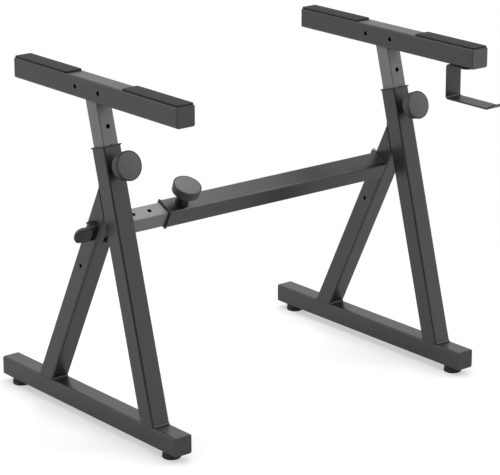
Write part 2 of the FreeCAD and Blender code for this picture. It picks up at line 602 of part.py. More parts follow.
def bar_bracket(tube_width, bore_width, corner, reach_n):
    """Steel end bracket for the right end of a tube along X: plate, plug, two knuckles on the side of reach_n."""
    plate = along_x(rounded_bar(tube_width, tube_width, corner, BRACKET_PLATE))
    plug_width = bore_width - 2 * CAP_CLEARANCE
    plug = along_x(square_tube(plug_width, plug_width, BRACKET_PLUG_WALL, corner / 2, BRACKET_PLUG))
    bracket = shifted(plate, CROSSBAR_RIGHT_END).fuse(shifted(plug, CROSSBAR_RIGHT_END - BRACKET_PLUG))
    near = min(0.0, reach_n)
    far = max(0.0, reach_n)
    inner = KNUCKLE_HALF + KNUCKLE_GAP
    outer = tube_width / 2
    for low, high in ((-outer, -inner), (inner, outer)):
        web = box(CROSSBAR_RIGHT_END, CROSSBAR_RIGHT_END + BRACKET_PLATE, near, far, low, high)
        bracket = bracket.fuse(web).fuse(knuckle(INNER_FACE, reach_n, low, high))
    bracket = bracket.cut(Part.makeCylinder(HINGE_PIN_RADIUS, 2 * TUBE, Vector(INNER_FACE, reach_n, -TUBE)))
    keeper = Part.makeCylinder(LATCH_HOLE_RADIUS, 2 * TUBE, Vector(CROSSBAR_RIGHT_END - HALF_TUBE, 0, 0), X_AXIS)
    return bracket.cut(keeper).removeSplitter()


def right_bar_bracket():
    """Bracket on the crossbar's right end, knuckles behind the leg."""
    return moved(bar_bracket(TUBE, BORE, TUBE_CORNER, RIGHT_HINGE_N), LEG_PLACE)


def left_bar_bracket():
    """Bracket on the inner tube's left end, knuckles in front of the leg."""
    bracket = bar_bracket(TUBE, INNER_TUBE - 2 * INNER_WALL, TUBE_CORNER, LEFT_HINGE_N)
    return moved(mirrored(bracket), LEG_PLACE)


def leg_slot():
    """Cutter for the slot that runs along the left leg's front wall."""
    slot = rounded_bar(SLOT_WIDTH, SLOT_LENGTH, SLOT_WIDTH / 2 - SLOT_WIDTH / 50, HALF_TUBE)
    slot.rotate(Vector(0, 0, 0), X_AXIS, 90)
    return shifted(slot, TRACK / 2, -HALF_TUBE + TUBE_WALL * 1.5, -SLOT_DROP)


def hinge_leaf(side, hinge_n):
    """Leaf welded to the leg's front (-1) or rear (1) face, one middle knuckle on the hinge axis."""
    face = side * HALF_TUBE
    outer = face + side * LEAF_THICKNESS
    low, high = min(face, outer), max(face, outer)
    plate = box(INNER_FACE + LEAF_NEAR, INNER_FACE + LEAF_FAR, low, high, -HALF_TUBE, HALF_TUBE)
    far_n = hinge_n + side * LEAF_THICKNESS / 2
    tongue = box(INNER_FACE, INNER_FACE + LEAF_NEAR + LEAF_THICKNESS, min(face, far_n), max(face, far_n),
                 -KNUCKLE_HALF, KNUCKLE_HALF)
    leaf = plate.fuse(tongue).fuse(knuckle(INNER_FACE, hinge_n, -KNUCKLE_HALF, KNUCKLE_HALF))
    bore = Part.makeCylinder(HINGE_PIN_RADIUS + HINGE_PIN_CLEARANCE, 2 * TUBE, Vector(INNER_FACE, hinge_n, -TUBE))
    return leaf.cut(bore).removeSplitter()


def hinge_pin(hinge_n):
    """Rivet through the knuckles, a low head at each end."""
    end = HALF_TUBE + HINGE_PIN_HEAD
    pin = turned([(0, -end), (HINGE_PIN_HEAD_RADIUS, -end), (HINGE_PIN_HEAD_RADIUS, -HALF_TUBE),
                  (HINGE_PIN_RADIUS, -HALF_TUBE), (HINGE_PIN_RADIUS, HALF_TUBE),
                  (HINGE_PIN_HEAD_RADIUS, HALF_TUBE), (HINGE_PIN_HEAD_RADIUS, end), (0, end)])
    return shifted(pin, INNER_FACE, hinge_n, 0)


# ---------------------------------------------------------------- latch, in the leg frame on the right leg
def latch_housing():
    """Clevis on the leg's outer face: base plate and two ears that hold the lever pin."""
    width = HOUSING_FRONT + HOUSING_REAR
    middle_n = (HOUSING_REAR - HOUSING_FRONT) / 2
    block = along_x(rounded_bar(HOUSING_HEIGHT, width, HOUSING_CORNER, HOUSING_DEPTH))
    block = shifted(block, OUTER_FACE, middle_n, 0)
    half_gap = HOUSING_HEIGHT / 2 - HOUSING_EAR
    gap = box(OUTER_FACE + HOUSING_PLATE, OUTER_FACE + 2 * HOUSING_DEPTH, -TUBE, TUBE, -half_gap, half_gap)
    pin_hole = Part.makeCylinder(LEVER_PIN_RADIUS, 2 * TUBE,
                                 Vector(OUTER_FACE + LEVER_PIVOT_OUT, -LEVER_PIVOT_FORE, -TUBE))
    shank_hole = Part.makeCylinder(LATCH_PIN_RADIUS + LATCH_PIN_CLEARANCE, TUBE,
                                   Vector(OUTER_FACE - HALF_TUBE, 0, 0), X_AXIS)
    return block.cut(gap).cut(pin_hole).cut(shank_hole)


def lever_pin():
    """Pin through both ears of the clevis."""
    return Part.makeCylinder(LEVER_PIN_RADIUS, HOUSING_HEIGHT,
                             Vector(OUTER_FACE + LEVER_PIVOT_OUT, -LEVER_PIVOT_FORE, -HOUSING_HEIGHT / 2))


def lever_wing():
    """Curved wing: a D-shaped outline seen from the front, on a blade that curls to the rear."""
    root = LEVER_PIVOT_OUT
    shoulder = LEVER_REACH - (LEVER_REACH - root) / 3
    outline = Part.Wire([
        Part.makeLine(Vector(root, 0, -LEVER_BOTTOM), Vector(root, 0, LEVER_TOP)),
        Part.makeLine(Vector(root, 0, LEVER_TOP), Vector(shoulder, 0, LEVER_TOP)),
        Part.Arc(Vector(shoulder, 0, LEVER_TOP), Vector(LEVER_REACH - 2, 0, LEVER_TOP * 0.6),
                 Vector(LEVER_REACH, 0, 0)).toShape(),
        Part.Arc(Vector(LEVER_REACH, 0, 0), Vector(LEVER_REACH - 1.5, 0, -LEVER_BOTTOM * 0.6),
                 Vector(LEVER_REACH - 6, 0, -LEVER_BOTTOM)).toShape(),
        Part.makeLine(Vector(LEVER_REACH - 6, 0, -LEVER_BOTTOM), Vector(root, 0, -LEVER_BOTTOM)),
    ])
    outline_bar = shifted(Part.Face(outline).extrude(Vector(0, 2 * TUBE, 0)), OUTER_FACE, -TUBE, 0)
    front = -LEVER_PIVOT_FORE - LEVER_ROOT_THICKNESS / 2 - 1
    rear = front + LEVER_ROOT_THICKNESS
    tip_front = front + LEVER_TIP_SWEEP
    tip_rear = tip_front + LEVER_TIP_THICKNESS
    end = LEVER_REACH + 1
    middle = (root + end) / 2
    blade = Part.Wire([
        Part.makeLine(Vector(root, rear, 0), Vector(root, front, 0)),
        Part.Arc(Vector(root, front, 0), Vector(middle, front + LEVER_TIP_SWEEP / 5, 0),
                 Vector(end, tip_front, 0)).toShape(),
        Part.makeLine(Vector(end, tip_front, 0), Vector(end, tip_rear, 0)),
        Part.Arc(Vector(end, tip_rear, 0), Vector(middle, rear + LEVER_TIP_SWEEP / 12, 0),
                 Vector(root, rear, 0)).toShape(),
    ])
    blade_bar = shifted(Part.Face(blade).extrude(Vector(0, 0, 2 * TUBE)), OUTER_FACE, 0, -TUBE)
    wing = outline_bar.common(blade_bar)
    clear = HOUSING_HEIGHT / 2 - HOUSING_EAR - LEVER_EAR_GAP
    reach = OUTER_FACE + HOUSING_DEPTH + LEVER_SHOULDER_GAP
    above = box(OUTER_FACE, reach, -TUBE, TUBE, clear, TUBE)
    below = box(OUTER_FACE, reach, -TUBE, TUBE, -TUBE, -clear)
    return wing.cut(above).cut(below)


def latch_lever():
    """Lever: hub on its pin, wing outwards, forked finger behind the latch pin's head."""
    x = OUTER_FACE + LEVER_PIVOT_OUT
    n = -LEVER_PIVOT_FORE
    half = HOUSING_HEIGHT / 2 - HOUSING_EAR - LEVER_EAR_GAP
    hub = Part.makeCylinder(LEVER_HUB_RADIUS, 2 * half, Vector(x, n, -half))
    finger = box(x - FINGER_THICKNESS / 2, x + FINGER_THICKNESS / 2, n, n + FINGER_REACH,
                 -FINGER_WIDTH / 2, FINGER_WIDTH / 2)
    slot = box(x - FINGER_THICKNESS, x + FINGER_THICKNESS, n + FINGER_SLOT_START, n + 2 * FINGER_REACH,
               -FINGER_SLOT / 2, FINGER_SLOT / 2)
    lever = lever_wing().fuse(hub).fuse(finger.cut(slot))
    bore = Part.makeCylinder(LEVER_PIN_RADIUS + LEVER_PIN_CLEARANCE, 2 * TUBE, Vector(x, n, -TUBE))
    return lever.cut(bore).removeSplitter()


def latch_pin():
    """Pin through the leg: tip in the bracket's keeper hole, spring collar inside, headed neck outside."""
    tip = INNER_FACE - LATCH_ENGAGED
    near = INNER_FACE + LATCH_COLLAR_AT
    r = LATCH_PIN_RADIUS
    neck = OUTER_FACE + LATCH_NECK_START
    pin = turned([(0, tip), (r - 1, tip), (r, tip + 1), (r, near), (LATCH_COLLAR_RADIUS, near),
                  (LATCH_COLLAR_RADIUS, near + LATCH_COLLAR_THICK), (r, near + LATCH_COLLAR_THICK), (r, neck),
                  (LATCH_NECK_RADIUS, neck), (LATCH_NECK_RADIUS, OUTER_FACE + LATCH_HEAD_START),
                  (LATCH_HEAD_RADIUS, OUTER_FACE + LATCH_HEAD_START), (LATCH_HEAD_RADIUS, OUTER_FACE + LATCH_HEAD_END),
                  (0, OUTER_FACE + LATCH_HEAD_END)])
    return along_x(pin)


def latch_spring():
    """Envelope of the spring between the pin's collar and the leg's outer wall."""
    low = INNER_FACE + LATCH_COLLAR_AT + LATCH_COLLAR_THICK
    high = OUTER_FACE - TUBE_WALL
    inner = LATCH_PIN_RADIUS + LATCH_PIN_CLEARANCE
    return along_x(turned([(inner, low), (LATCH_COLLAR_RADIUS, low), (LATCH_COLLAR_RADIUS, high), (inner, high)]))


# ---------------------------------------------------------------- hanger
def strap_piece(start, end, width):
    """Straight stretch of the strap between two points of its middle line in the YZ plane."""
    direction = (end - start).normalize()
    square = Vector(0, -direction.z, direction.y) * (HANGER_THICKNESS / 2)
    corners = [start + square, end + square, end - square, start - square]
    face = Part.Face(Part.makePolygon(corners + corners[:1]))
    return shifted(face.extrude(Vector(width, 0, 0)), -width / 2)


def strap_bend(before, corner, after, width):
    """Bend at a corner of the middle line, with the points where it meets its neighbours."""
    into = (corner - before).normalize()
    out = (after - corner).normalize()
    turn = math.acos(max(-1.0, min(1.0, into.dot(out))))
    setback = HANGER_BEND * math.tan(turn / 2)
    start = corner - into * setback
    end = corner + out * setback
    side = 1.0 if into.cross(out).x > 0 else -1.0
    square = Vector(0, -into.z, into.y) * side
    centre = start + square * HANGER_BEND
    inner = start + square * (HANGER_THICKNESS / 2)
    outer = start - square * (HANGER_THICKNESS / 2)
    edge = Part.Face(Part.makePolygon([inner, outer, outer + Vector(width, 0, 0), inner + Vector(width, 0, 0), inner]))
    bend = edge.revolve(centre, X_AXIS * side, math.degrees(turn))
    return shifted(bend, -width / 2), start, end


def hanger_bracket():
    """Bent strap: flange under the arm, upright strap, tray to the front and a raised lip."""
    half = HANGER_THICKNESS / 2
    top = ARM_BOTTOM - HANGER_WASHER - half
    low = ARM_BOTTOM - HANGER_DROP + half
    back = HANGER_BACK_Y - half
    front = HANGER_BACK_Y - HANGER_TRAY
    rise = math.radians(HANGER_LIP_RISE)
    line = [Vector(0, HANGER_FLANGE_FRONT_Y, top), Vector(0, back, top), Vector(0, back, low),
            Vector(0, front, low), Vector(0, front - HANGER_LIP * math.cos(rise), low + HANGER_LIP * math.sin(rise))]
    solids = []
    start = line[0]
    for before, corner, after in zip(line, line[1:], line[2:]):
        bend, meets, leaves = strap_bend(before, corner, after, HANGER_WIDTH)
        solids += [strap_piece(start, meets, HANGER_WIDTH), bend]
        start = leaves
    solids.append(strap_piece(start, line[-1], HANGER_WIDTH))
    strap = solids[0].multiFuse(solids[1:]).removeSplitter()
    strap = strap.common(hanger_plan())
    strap = shifted(strap, TRACK / 2)
    hole = Part.makeCylinder(HANGER_BOLT_RADIUS + HANGER_CLEARANCE, 4 * HANGER_THICKNESS,
                             Vector(TRACK / 2, HANGER_BOLT_Y, top - 2 * HANGER_THICKNESS))
    return strap.cut(hole)


def hanger_plan():
    """Plan outlines that round the flange's nose and the lip's corners, each for its own height."""
    split = ARM_BOTTOM - HANGER_DROP / 2
    rear = HANGER_BACK_Y + HANGER_WIDTH
    upper_length = rear - HANGER_FLANGE_FRONT_Y
    upper = rounded_bar(HANGER_WIDTH, upper_length, HANGER_NOSE, HANGER_DROP)
    upper = shifted(upper, 0, HANGER_FLANGE_FRONT_Y + upper_length / 2, split)
    lower_length = rear - HANGER_TIP_Y
    lower = rounded_bar(HANGER_WIDTH, lower_length, HANGER_LIP_CORNER, HANGER_DROP)
    lower = shifted(lower, 0, HANGER_TIP_Y + lower_length / 2, split - HANGER_DROP)
    return upper.fuse(lower)


def hanger_bolt():
    """Button-head bolt with its spacer washer between flange and arm."""
    head_top = ARM_BOTTOM - HANGER_WASHER - HANGER_THICKNESS - HANGER_CLEARANCE
    head_low = head_top - HANGER_BOLT_HEAD
    r = HANGER_BOLT_RADIUS
    bolt = turned([(0, head_low), (HANGER_BOLT_HEAD_RADIUS * 0.6, head_low),
                   (HANGER_BOLT_HEAD_RADIUS, head_low + HANGER_BOLT_HEAD * 0.5), (HANGER_BOLT_HEAD_RADIUS, head_top),
                   (r, head_top), (r, ARM_BOTTOM + HANGER_BOLT_REACH), (0, ARM_BOTTOM + HANGER_BOLT_REACH)])
    washer = turned([(r, ARM_BOTTOM - HANGER_WASHER + HANGER_CLEARANCE / 2),
                     (HANGER_WASHER_RADIUS, ARM_BOTTOM - HANGER_WASHER + HANGER_CLEARANCE / 2),
                     (HANGER_WASHER_RADIUS, ARM_BOTTOM), (r, ARM_BOTTOM)])
    return shifted(group([bolt, washer]), TRACK / 2, HANGER_BOLT_Y)


# ---------------------------------------------------------------- assembly
def right_side_pieces():
    """Pieces that both side frames share, drawn for the right frame."""
    base_end = BASE_LENGTH / 2
    arm_middle = ARM_TOP - HALF_TUBE
    arm_rear = ARM_FRONT_Y + ARM_LENGTH
    collar_piece = shifted(collar(), TRACK / 2, 0, UPRIGHT_LENGTH)
    return {
        "base_tube": base_tube(),
        "upright": upright(),
        "frame_welds": frame_welds(),
        "base_end_caps": end_caps(BASE_HEIGHT, FOOT_HEIGHT + BASE_HEIGHT / 2, -base_end, base_end),
        "feet": at_both_feet(foot()),
        "foot_screws": at_both_feet(foot_screw()),
        "upright_collar": moved(collar_piece, UPRIGHT_PLACE),
        "height_tube": height_tube(),
        "arm_weld": arm_weld(),
        "arm_end_caps": end_caps(TUBE, arm_middle, ARM_FRONT_Y, arm_rear),
        "arm_pads": arm_pads(),
        "lock_barrel": on_upright(lock_barrel()),
        "lock_pin": on_upright(lock_pin()),
        "lock_spring": on_upright(lock_spring()),
        "lock_knob": on_upright(lock_knob()),
        "latch_housing": moved(latch_housing(), LEG_PLACE),
        "latch_lever": moved(latch_lever(), LEG_PLACE),
        "lever_pin": moved(lever_pin(), LEG_PLACE),
        "latch_pin": moved(latch_pin(), LEG_PLACE),
        "latch_spring": moved(latch_spring(), LEG_PLACE),
    }


def all_nodes():
    """Every node of the stand by name."""
    nodes = {}
    for name, shape in right_side_pieces().items():
        nodes["right_" + name] = shape
        nodes["left_" + name] = mirrored(shape)
    nodes["right_rear_leg"] = rear_leg(front_slot=False)
    nodes["left_rear_leg"] = mirrored(rear_leg(front_slot=True))
    nodes["right_arm"] = arm(has_hanger=True)
    nodes["left_arm"] = mirrored(arm(has_hanger=False))
    nodes["right_hinge_leaf"] = moved(hinge_leaf(1, RIGHT_HINGE_N), LEG_PLACE)
    nodes["left_hinge_leaf"] = mirrored(moved(hinge_leaf(-1, LEFT_HINGE_N), LEG_PLACE))
    nodes["right_hinge_pin"] = moved(hinge_pin(RIGHT_HINGE_N), LEG_PLACE)
    nodes["left_hinge_pin"] = mirrored(moved(hinge_pin(LEFT_HINGE_N), LEG_PLACE))
    nodes["right_bar_bracket"] = right_bar_bracket()
    nodes["left_bar_bracket"] = left_bar_bracket()
    nodes["crossbar_outer_tube"] = crossbar_outer_tube()
    nodes["crossbar_inner_tube"] = crossbar_inner_tube()
    nodes["crossbar_collar"] = crossbar_collar()
    nodes["crossbar_glide"] = crossbar_glide()
    nodes["crossbar_lock_barrel"] = on_crossbar(lock_barrel())
    nodes["crossbar_lock_pin"] = on_crossbar(lock_pin())
    nodes["crossbar_lock_spring"] = on_crossbar(lock_spring())
    nodes["crossbar_lock_knob"] = on_crossbar(lock_knob())
    nodes["hanger_bracket"] = hanger_bracket()
    nodes["hanger_bolt"] = hanger_bolt()
    return nodes


def main():
    """Write one STEP file for each node."""
    os.makedirs("parts", exist_ok=True)
    nodes = all_nodes()
    for name, shape in sorted(nodes.items()):
        final = shape.copy()
        final.translate(TO_CENTRE)
        final.exportStep("parts/" + name + ".step")
        print(name, len(final.Solids), "valid" if final.isValid() else "INVALID", round(final.Volume, 1))
    print(len(nodes), "nodes; shift along Y", round(-MIDDLE_Y, 3))


main()
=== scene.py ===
"""Looks of a folding keyboard stand: finishes, weld beads, grip strips, pull knobs and the studio.

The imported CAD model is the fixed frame. Every piece made here is in its frame, in metres: +X to the
player's right, +Y away from the player, +Z up, the floor at zero. Two slanted frames help to place
pieces on the rear legs and on the uprights.
"""
from __future__ import annotations

import logging
import math
from dataclasses import dataclass, field
from enum import Enum

import bmesh
import bpy
from mathutils import Matrix, Vector

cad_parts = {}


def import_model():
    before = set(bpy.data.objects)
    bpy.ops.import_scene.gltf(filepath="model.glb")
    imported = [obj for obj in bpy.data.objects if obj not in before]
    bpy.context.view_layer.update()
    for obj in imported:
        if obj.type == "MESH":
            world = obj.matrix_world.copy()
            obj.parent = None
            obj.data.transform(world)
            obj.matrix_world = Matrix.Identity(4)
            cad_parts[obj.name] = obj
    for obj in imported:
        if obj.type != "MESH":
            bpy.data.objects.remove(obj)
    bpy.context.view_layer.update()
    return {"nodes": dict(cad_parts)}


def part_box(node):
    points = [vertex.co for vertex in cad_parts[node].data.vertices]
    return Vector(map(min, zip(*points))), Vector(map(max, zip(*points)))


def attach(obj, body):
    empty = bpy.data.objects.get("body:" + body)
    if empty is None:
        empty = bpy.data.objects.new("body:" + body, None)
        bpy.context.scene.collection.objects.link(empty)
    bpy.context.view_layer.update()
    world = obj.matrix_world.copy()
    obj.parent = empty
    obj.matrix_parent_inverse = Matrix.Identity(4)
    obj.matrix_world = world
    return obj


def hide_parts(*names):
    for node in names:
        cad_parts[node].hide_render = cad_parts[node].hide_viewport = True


LOG = logging.getLogger("keyboard_stand")
MM = 0.001
Number = float | int
Colour = tuple[float, float, float]


class Side(Enum):
    """Side of the stand, seen from the player's seat."""

    LEFT = "left"
    RIGHT = "right"

    @property
    def sign(self) -> int:
        """Direction of this side along X."""
        return -1 if self is Side.LEFT else 1


@dataclass(frozen=True)
class SlantedFrame:
    """A frame tilted about X, with its origin in the middle plane of the stand.

    Args:
        origin: Place of the frame's origin, in metres.
        tilt: Turn about X, in degrees.
    """

    origin: tuple[float, float, float]
    tilt: float

    def matrix(self) -> Matrix:
        """Matrix from this frame to the stand's frame."""
        return Matrix.Translation(self.origin) @ Matrix.Rotation(math.radians(self.tilt), 4, "X")

    def point(self, x: float, y: float, z: float) -> Vector:
        """Point of this frame, in the stand's frame."""
        return self.matrix() @ Vector((x, y, z))


# Places and sizes that several pieces share, in metres.
TUBE_HALF = 0.020  # half width of a frame tube
TRACK_HALF = 0.360  # from the stand's middle to the middle of a side frame
UPRIGHT_LOCK = 0.485  # height lock, up along its upright
BAR_LOCK_X = -0.1754  # crossbar lock, across the stand
FRONT_PAD_LENGTH = 0.168
REAR_PAD_LENGTH = 0.173
BARREL_FOOT_TOP = 0.0036  # start of a barrel's ribs above the tube wall
FRONT_RIGHT = (0.63, -0.78, 0.0)  # level direction of the floor's bright side
LEG = SlantedFrame(origin=(0.0, 0.001137, 0.3947), tilt=26.7)
UPRIGHT = SlantedFrame(origin=(0.0, -0.160165, 0.052), tilt=-15.2)


# ---------------------------------------------------------------- node graphs
class Wire:
    """A node socket on which Python's operators add Math nodes."""

    def __init__(self, graph: Graph, socket: bpy.types.NodeSocket) -> None:
        """Wrap a socket.

        Args:
            graph: Graph that the socket belongs to.
            socket: Output socket to carry on from.
        """
        self.graph = graph
        self.socket = socket

    def _math(self, operation: str, *values: Wire | Number) -> Wire:
        """Math node on the given values, as a new wire."""
        inputs = dict(enumerate(values))
        return self.graph.wire(self.graph.node(self.graph.math_kind, {"operation": operation}, inputs))

    def __add__(self, other: Wire | Number) -> Wire:
        """Sum."""
        return self._math("ADD", self, other)

    def __sub__(self, other: Wire | Number) -> Wire:
        """Difference."""
        return self._math("SUBTRACT", self, other)

    def __rsub__(self, other: Number) -> Wire:
        """Difference from a number."""
        return self._math("SUBTRACT", other, self)

    def __mul__(self, other: Wire | Number) -> Wire:
        """Product."""
        return self._math("MULTIPLY", self, other)

    def __truediv__(self, other: Wire | Number) -> Wire:
        """Quotient."""
        return self._math("DIVIDE", self, other)

    def __pow__(self, other: Wire | Number) -> Wire:
        """Power."""
        return self._math("POWER", self, other)

    __radd__ = __add__
    __rmul__ = __mul__

    def cosine(self) -> Wire:
        """Cosine."""
        return self._math("COSINE", self)

    def magnitude(self) -> Wire:
        """Absolute value."""
        return self._math("ABSOLUTE", self)

    def at_least(self, floor: Number) -> Wire:
        """The larger of this and a number."""
        return self._math("MAXIMUM", self, floor)

    def band(self, low: Number, high: Number) -> Wire:
        """Smooth step from 0 at low to 1 at high.

        Args:
            low: Value at which the result starts to rise.
            high: Value at which it has reached 1.

        Returns:
            The stepped value.
        """
        settings = {"interpolation_type": "SMOOTHSTEP"}
        values = {"Value": self, "From Min": low, "From Max": high}
        return self.graph.wire(self.graph.node("ShaderNodeMapRange", settings, values))


class Graph:
    """A node tree, filled from Python."""

    math_kind = "ShaderNodeMath"

    def __init__(self, tree: bpy.types.NodeTree) -> None:
        """Start with an empty tree."""
        self.tree = tree
        tree.nodes.clear()

    def node(self, kind: str, settings: dict | None = None, values: dict | None = None) -> bpy.types.Node:
        """Add one node.

        Args:
            kind: Type name of the node.
            settings: Attributes of the node, such as an operation, set before its sockets.
            values: Socket name or index to a value or a wire.

        Returns:
            The new node.
        """
        made = self.tree.nodes.new(kind)
        for name, value in (settings or {}).items():
            setattr(made, name, value)
        for key, value in (values or {}).items():
            if isinstance(value, Wire):
                self.tree.links.new(value.socket, made.inputs[key])
            else:
                made.inputs[key].default_value = value
        return made

    def wire(self, node: bpy.types.Node, output: str | int = 0) -> Wire:
        """Wire from one output of a node."""
        return Wire(self, node.outputs[output])

    def noise(self, where: Wire, scale: float, detail: float = 2.0, roughness: float = 0.5) -> Wire:
        """Noise from 0 to 1 at the given places.

        Args:
            where: Coordinates.
            scale: Waves for each metre.
            detail: Octaves.
            roughness: Weight of the finer octaves.

        Returns:
            The noise value.
        """
        values = {"Vector": where, "Scale": scale, "Detail": detail, "Roughness": roughness}
        return self.wire(self.node("ShaderNodeTexNoise", {}, values))

    def blend(self, factor: Wire | Number, low: Wire | Colour, high: Wire | Colour) -> Wire:
        """Colour between two colours.

        Args:
            factor: 0 for low, 1 for high.
            low: Colour or wire.
            high: Colour or wire.

        Returns:
            The mixed colour.
        """
        settings = {"data_type": "RGBA", "clamp_factor": True}
        values = {0: factor, 6: rgba(low), 7: rgba(high)}
        return self.wire(self.node("ShaderNodeMix", settings, values), 2)


def rgba(colour: Wire | Colour) -> Wire | tuple[float, float, float, float]:
    """A plain colour with its alpha, or the wire as it is."""
    return colour if isinstance(colour, Wire) else (*colour, 1.0)


def scaled(colour: Colour, factor: float) -> Colour:
    """A colour made lighter or darker."""
    return tuple(min(1.0, channel * factor) for channel in colour)


# ---------------------------------------------------------------- finishes
@dataclass(frozen=True)
class Finish:
    """A surface finish with fine grain, soft tone changes and softened edges.

    Args:
        name: Name of the material.
        colour: Base colour, linear.
        roughness: Middle roughness.
        grain_scale: Waves of the surface grain for each metre.
        grain_depth: Height of the grain, in metres.
        tone: Share by which the colour wanders over the piece.
        edge_radius: Radius that softens sharp edges, in metres.
        metallic: Metallic value of the shader.
        specular: Specular level of the shader.
        wear: How far the edges are rubbed lighter.
    """

    name: str
    colour: Colour
    roughness: float = 0.45
    grain_scale: float = 900.0
    grain_depth: float = 0.00006
    tone: float = 0.06
    edge_radius: float = 0.0008
    metallic: float = 0.0
    specular: float = 0.5
    wear: float = 0.0

    def material(self) -> bpy.types.Material:
        """Make the material on first use.

        Returns:
            The material of this finish.
        """
        existing = bpy.data.materials.get(self.name)
        if existing:
            return existing
        material = bpy.data.materials.new(self.name)
        material.use_nodes = True
        self.fill(Graph(material.node_tree))
        return material

    def fill(self, graph: Graph) -> None:
        """Build the shader.

        Args:
            graph: Empty graph of the new material.
        """
        where = graph.wire(graph.node("ShaderNodeTexCoord"), "Object")
        grain = self.grain(graph, where)
        cloud = graph.noise(where, 11.0, 3.0)
        softened = graph.node("ShaderNodeBevel", {"samples": 6}, {"Radius": self.edge_radius})
        colour = graph.blend(cloud, scaled(self.colour, 1 - self.tone), scaled(self.colour, 1 + self.tone))
        colour = graph.blend(grain * 0.5, colour, scaled(self.colour, 1 + 2 * self.tone))
        if self.wear:
            colour = self.rub_edges(graph, where, colour)
        roughness = grain * 0.10 + cloud * 0.08 + (self.roughness - 0.09)
        bump_values = {"Strength": 1.0, "Distance": self.grain_depth, "Height": grain,
                       "Normal": graph.wire(softened)}
        bump = graph.node("ShaderNodeBump", {}, bump_values)
        values = {"Base Color": colour, "Roughness": roughness, "Metallic": self.metallic,
                  "Specular IOR Level": self.specular, "Normal": graph.wire(bump)}
        shader = graph.node("ShaderNodeBsdfPrincipled", {}, values)
        graph.node("ShaderNodeOutputMaterial", {}, {"Surface": graph.wire(shader)})

    def grain(self, graph: Graph, where: Wire) -> Wire:
        """Height of the surface grain, from 0 to 1."""
        return graph.noise(where, self.grain_scale, 2.5, 0.55)

    def rub_edges(self, graph: Graph, where: Wire, colour: Wire) -> Wire:
        """Lighten convex edges in patches, where handling rubs the paint.

        Args:
            graph: Graph of the material.
            where: Object coordinates.
            colour: Colour so far.

        Returns:
            The colour with worn edges.
        """
        wide = graph.node("ShaderNodeBevel", {"samples": 6}, {"Radius": 2.2 * self.edge_radius})
        straight = graph.wire(graph.node("ShaderNodeNewGeometry"), "Normal")
        values = {0: graph.wire(wide), 1: straight}
        facing = graph.wire(graph.node("ShaderNodeVectorMath", {"operation": "DOT_PRODUCT"}, values), "Value")
        patches = graph.noise(where, 55.0, 4.0, 0.65).band(0.42, 0.75)
        rubbed = (1 - facing).band(0.04, 0.28) * patches * self.wear
        return graph.blend(rubbed, colour, scaled(self.colour, 2.4))


@dataclass(frozen=True)
class BrushedPaint(Finish):
    """A finish whose grain is drawn out along one axis.

    Args:
        stretch: Scale of the grain along X, Y and Z.
    """

    stretch: tuple[float, float, float] = (1.0, 0.05, 0.05)

    def grain(self, graph: Graph, where: Wire) -> Wire:
        """Drawn-out grain with a little round grain in it.

        Args:
            graph: Graph of the material.
            where: Object coordinates.

        Returns:
            Height of the grain, from 0 to 1.
        """
        drawn = graph.wire(graph.node("ShaderNodeMapping", {}, {"Vector": where, "Scale": self.stretch}))
        lines = graph.noise(drawn, self.grain_scale, 3.0)
        return lines * 0.6 + graph.noise(where, 1.5 * self.grain_scale, 2.0) * 0.4


@dataclass(frozen=True)
class GripRubber(Finish):
    """Closed rubber skin with fine pores and rubbed, dusty patches."""

    def grain(self, graph: Graph, where: Wire) -> Wire:
        """Pores over a soft noise.

        Args:
            graph: Graph of the material.
            where: Object coordinates.

        Returns:
            Height of the grain, from 0 to 1.
        """
        settings = {"feature": "F1", "distance": "EUCLIDEAN"}
        cells = graph.node("ShaderNodeTexVoronoi", settings, {"Vector": where, "Scale": self.grain_scale})
        pores = graph.wire(cells, "Distance").band(0.05, 0.55)
        return pores * 0.7 + graph.noise(where, 0.4 * self.grain_scale, 3.0) * 0.3


FRAME_PAINT = Finish("charcoal_powder_coat", (0.0125, 0.0120, 0.0127), 0.31, 1100.0, 0.00005, 0.07, 0.0012,
                     specular=0.95, wear=0.25)
SLIDE_PAINT = Finish("pewter_slide_coat", (0.200, 0.195, 0.196), 0.32, 1300.0, 0.00005, 0.06, 0.0007,
                     metallic=0.25, wear=0.3)
HANGER_PAINT = BrushedPaint("black_strap_enamel", (0.012, 0.0115, 0.0115), 0.38, 900.0, 0.00006, 0.08, 0.0006,
                            wear=0.25)
CAP_PLASTIC = Finish("charcoal_cap_plastic", (0.016, 0.0155, 0.0165), 0.40, 1800.0, 0.00004, 0.04, 0.0006,
                     specular=0.85)
BLACK_PLASTIC = Finish("black_moulded_plastic", (0.022, 0.022, 0.023), 0.48, 1700.0, 0.00004, 0.05, 0.0005)
LEVER_PLASTIC = Finish("dark_lever_plastic", (0.052, 0.050, 0.052), 0.44, 1700.0, 0.00004, 0.05, 0.0012)
KNOB_BODY = Finish("knob_body_plastic", (0.042, 0.040, 0.042), 0.50, 2200.0, 0.00005, 0.05, 0.0006)
# Painted light: the face disc is a real inset part, but its plastic is a lighter copy of the body's that
# stands for the light falling on the knob's face.
KNOB_FACE_LIT = Finish("knob_face_plastic", (0.105, 0.105, 0.111), 0.46, 2600.0, 0.00004, 0.04, 0.0005)
PAD_RUBBER = GripRubber("grip_strip_rubber", (0.011, 0.011, 0.011), 0.80, 1200.0, 0.00012, 0.10, 0.0006)
FOOT_RUBBER = GripRubber("foot_rubber", (0.016, 0.016, 0.016), 0.66, 1500.0, 0.00008, 0.08, 0.0008)
ZINC = BrushedPaint("zinc_plated_steel", (0.42, 0.42, 0.44), 0.30, 1500.0, 0.00003, 0.08, 0.0003,
                    metallic=1.0)
# Painted shade: the lock barrels and their ribs are coloured near-black to stand for the shadow under each
# knob.
BARREL_PAINTED_SHADE = Finish("barrel_painted_shade_black", (0.018, 0.018, 0.019), 0.40, 1700.0, 0.00004, 0.05, 0.0005)


